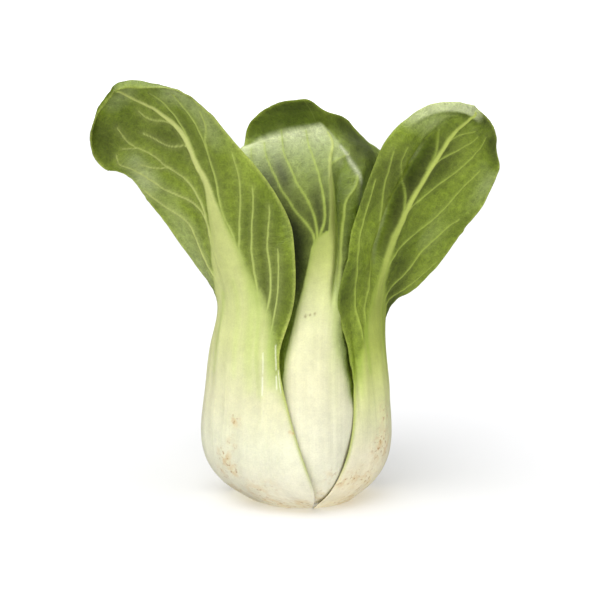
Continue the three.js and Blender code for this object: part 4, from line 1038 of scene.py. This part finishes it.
def makeStem():
    profile = np.array(stemProfile, float)
    sides = stemLook["sides"]
    disc = [[r, 0] for r in np.linspace(0.4, profile[0, 0], 14)]
    walk = runLength(profile)
    t = np.linspace(0, walk[-1], 30)[:-1]
    side = np.stack([np.interp(t, walk, profile[:, k]) for k in range(2)], -1)
    rings = np.array(disc[:-1] + side.tolist())
    angle = 2 * np.pi * np.arange(sides) / sides
    points = np.stack([rings[:, :1] * np.cos(angle), rings[:, :1] * np.sin(angle),
                       np.repeat(rings[:, 1:], sides, 1)], -1).reshape(-1, 3)
    points = np.concatenate([points, [[0, 0, 0], [0, 0, profile[-1, 1]]]])
    count = len(rings)
    at = np.arange(count * sides).reshape(count, sides)
    on = np.roll(at, -1, 1)
    quads = np.stack([at[:-1], on[:-1], on[1:], at[1:]], -1).reshape(-1, 4)
    low = np.stack([np.full(sides, count * sides), on[0], at[0]], -1)
    top = np.stack([np.full(sides, count * sides + 1), at[-1], on[-1]], -1)
    return meshFrom("stem_base_look", points * mm, quads, np.concatenate([low, top]))


def stemMaterial():
    material, n, shader, _ = nodeMaterial("stem_flesh")
    where = n.add("TexCoord").outputs["Object"]
    x, y, _ = n.add("SeparateXYZ", {0: where}).outputs
    radius = n.math("SQRT", n.math("ADD", n.math("MULTIPLY", x, x), n.math("MULTIPLY", y, y)))
    grain, patch = n.noise(where, 700.0, 4.0), n.noise(where, 160.0)
    ring = n.math("SINE", n.math("ADD", n.math("MULTIPLY", radius, 2 * math.pi / (stemLook["rings"] * mm)),
                                 n.math("MULTIPLY", patch, 6.0)))
    stain = n.math("ADD", n.range(ring, 0.2, 1.0, 0.0, 0.25), n.range(patch, 0.45, 0.75, 0.0, 0.6))
    rim = n.range(radius, *stemLook["rim"], 0.0, 0.35)
    white, brown = [(*linear(stemLook[k]), 1) for k in ("white", "brown")]
    n.put(shader.inputs["Base Color"], n.mix(n.math("ADD", stain, rim), white, brown))
    n.put(shader.inputs["Roughness"], n.range(grain, 0.3, 0.7, stemLook["roughness"] - 0.06,
                                              stemLook["roughness"] + 0.08))
    n.put(shader.inputs["Normal"], n.bump(n.math("ADD", grain, n.math("MULTIPLY", ring, 0.3)), 0.0002, 0.6))
    return material


place(makeStem(), "stem_base", "stem", stemMaterial())
print("stem built")

# floor, light and camera
view = {"from": [0.0008, -0.560, 0.168], "to": [0.0008, 0, 0.0794], "lens": 85}
lightSetup = {
    "sunStrength": 1.37, "sunAngle": 55, "sunFrom": [-0.4, -0.6, 1.0],
    "skyFill": [0.3, 1.25],  # light from the horizon and from straight above
    "front": 0.75,  # added light from behind the camera
    # the same two as reflections see them, a dark room under a bright softbox, and where the softbox starts
    "skyGloss": [0.02, 4.5], "softbox": [0.55, 0.85],
    "backdrop": 1.5,  # added to what the camera sees behind the floor
    "floorColour": [0.82, 0.82, 0.83], "floorFill": 1.35, "floorGloss": 0.04, "floorLift": 0.05}

bpy.ops.mesh.primitive_plane_add(size=8, location=(0, 0, 0))
floor = bpy.context.object
floor.name = "floor"
floorMaterial, n, floorShader, floorOut = nodeMaterial("white_floor")
n.put(floorShader.inputs["Base Color"], (*lightSetup["floorColour"], 1))
n.put(floorShader.inputs["Roughness"], 0.9)
n.put(floorShader.inputs["Specular IOR Level"], 0.0)
path = n.add("LightPath").outputs
lift = n.math("MULTIPLY", path["Is Camera Ray"], lightSetup["floorLift"])
n.put(floorShader.inputs["Emission Color"], (1, 1, 1, 1))
n.put(floorShader.inputs["Emission Strength"], lift)
# reflected and scattered rays see the floor as a plain glow, each kind at its own strength
seenGlossy = n.math("MULTIPLY", path["Is Glossy Ray"], lightSetup["floorGloss"])
seenDiffuse = n.math("MULTIPLY", path["Is Diffuse Ray"], lightSetup["floorFill"])
glow = n.add("Emission", {"Strength": n.math("ADD", seenGlossy, seenDiffuse)})
either = n.math("MAXIMUM", path["Is Glossy Ray"], path["Is Diffuse Ray"])
floorMix = n.add("MixShader", {0: either, 1: floorShader.outputs[0], 2: glow.outputs[0]})
n.put(floorOut.inputs[0], floorMix.outputs[0])
floor.data.materials.append(floorMaterial)

world = bpy.data.worlds.new("studio")
bpy.context.scene.world = world
world.use_nodes = True
n = Nodes(world.node_tree)
worldOut, background = n.add("OutputWorld"), n.add("Background")
_, frontBack, upDown = n.add("SeparateXYZ", {0: n.add("TexCoord").outputs["Generated"]}).outputs
path = n.add("LightPath").outputs
isGlossy, isCamera = path["Is Glossy Ray"], path["Is Camera Ray"]
toward = n.math("MAXIMUM", n.math("MULTIPLY", frontBack, -lightSetup["front"]), 0.0)
fill = n.math("ADD", n.range(upDown, 0.0, 0.9, *lightSetup["skyFill"]), toward)
gloss = n.range(upDown, *lightSetup["softbox"], *lightSetup["skyGloss"])
fill = n.math("MULTIPLY", fill, n.math("SUBTRACT", 1.0, isGlossy))
light = n.math("ADD", fill, n.math("MULTIPLY", gloss, isGlossy))
seenByCamera = n.math("MULTIPLY", isCamera, lightSetup["backdrop"])
n.put(background.inputs["Strength"], n.math("ADD", light, seenByCamera))
n.put(worldOut.inputs[0], background.outputs[0])

sun = bpy.data.objects.new("key", bpy.data.lights.new("key", "SUN"))
sun.data.energy = lightSetup["sunStrength"]
sun.data.angle = math.radians(lightSetup["sunAngle"])
sun.rotation_euler = Vector(lightSetup["sunFrom"]).to_track_quat("Z", "Y").to_euler()
bpy.context.scene.collection.objects.link(sun)

camera = bpy.data.objects.new("camera", bpy.data.cameras.new("camera"))
camera.data.lens = view["lens"]
camera.data.sensor_width = 36
camera.location = view["from"]
camera.rotation_euler = (Vector(view["to"]) - Vector(view["from"])).to_track_quat("-Z", "Y").to_euler()
bpy.context.scene.collection.objects.link(camera)
bpy.context.scene.camera = camera
bpy.context.scene.view_settings.view_transform = "Standard"

print("studio ready")
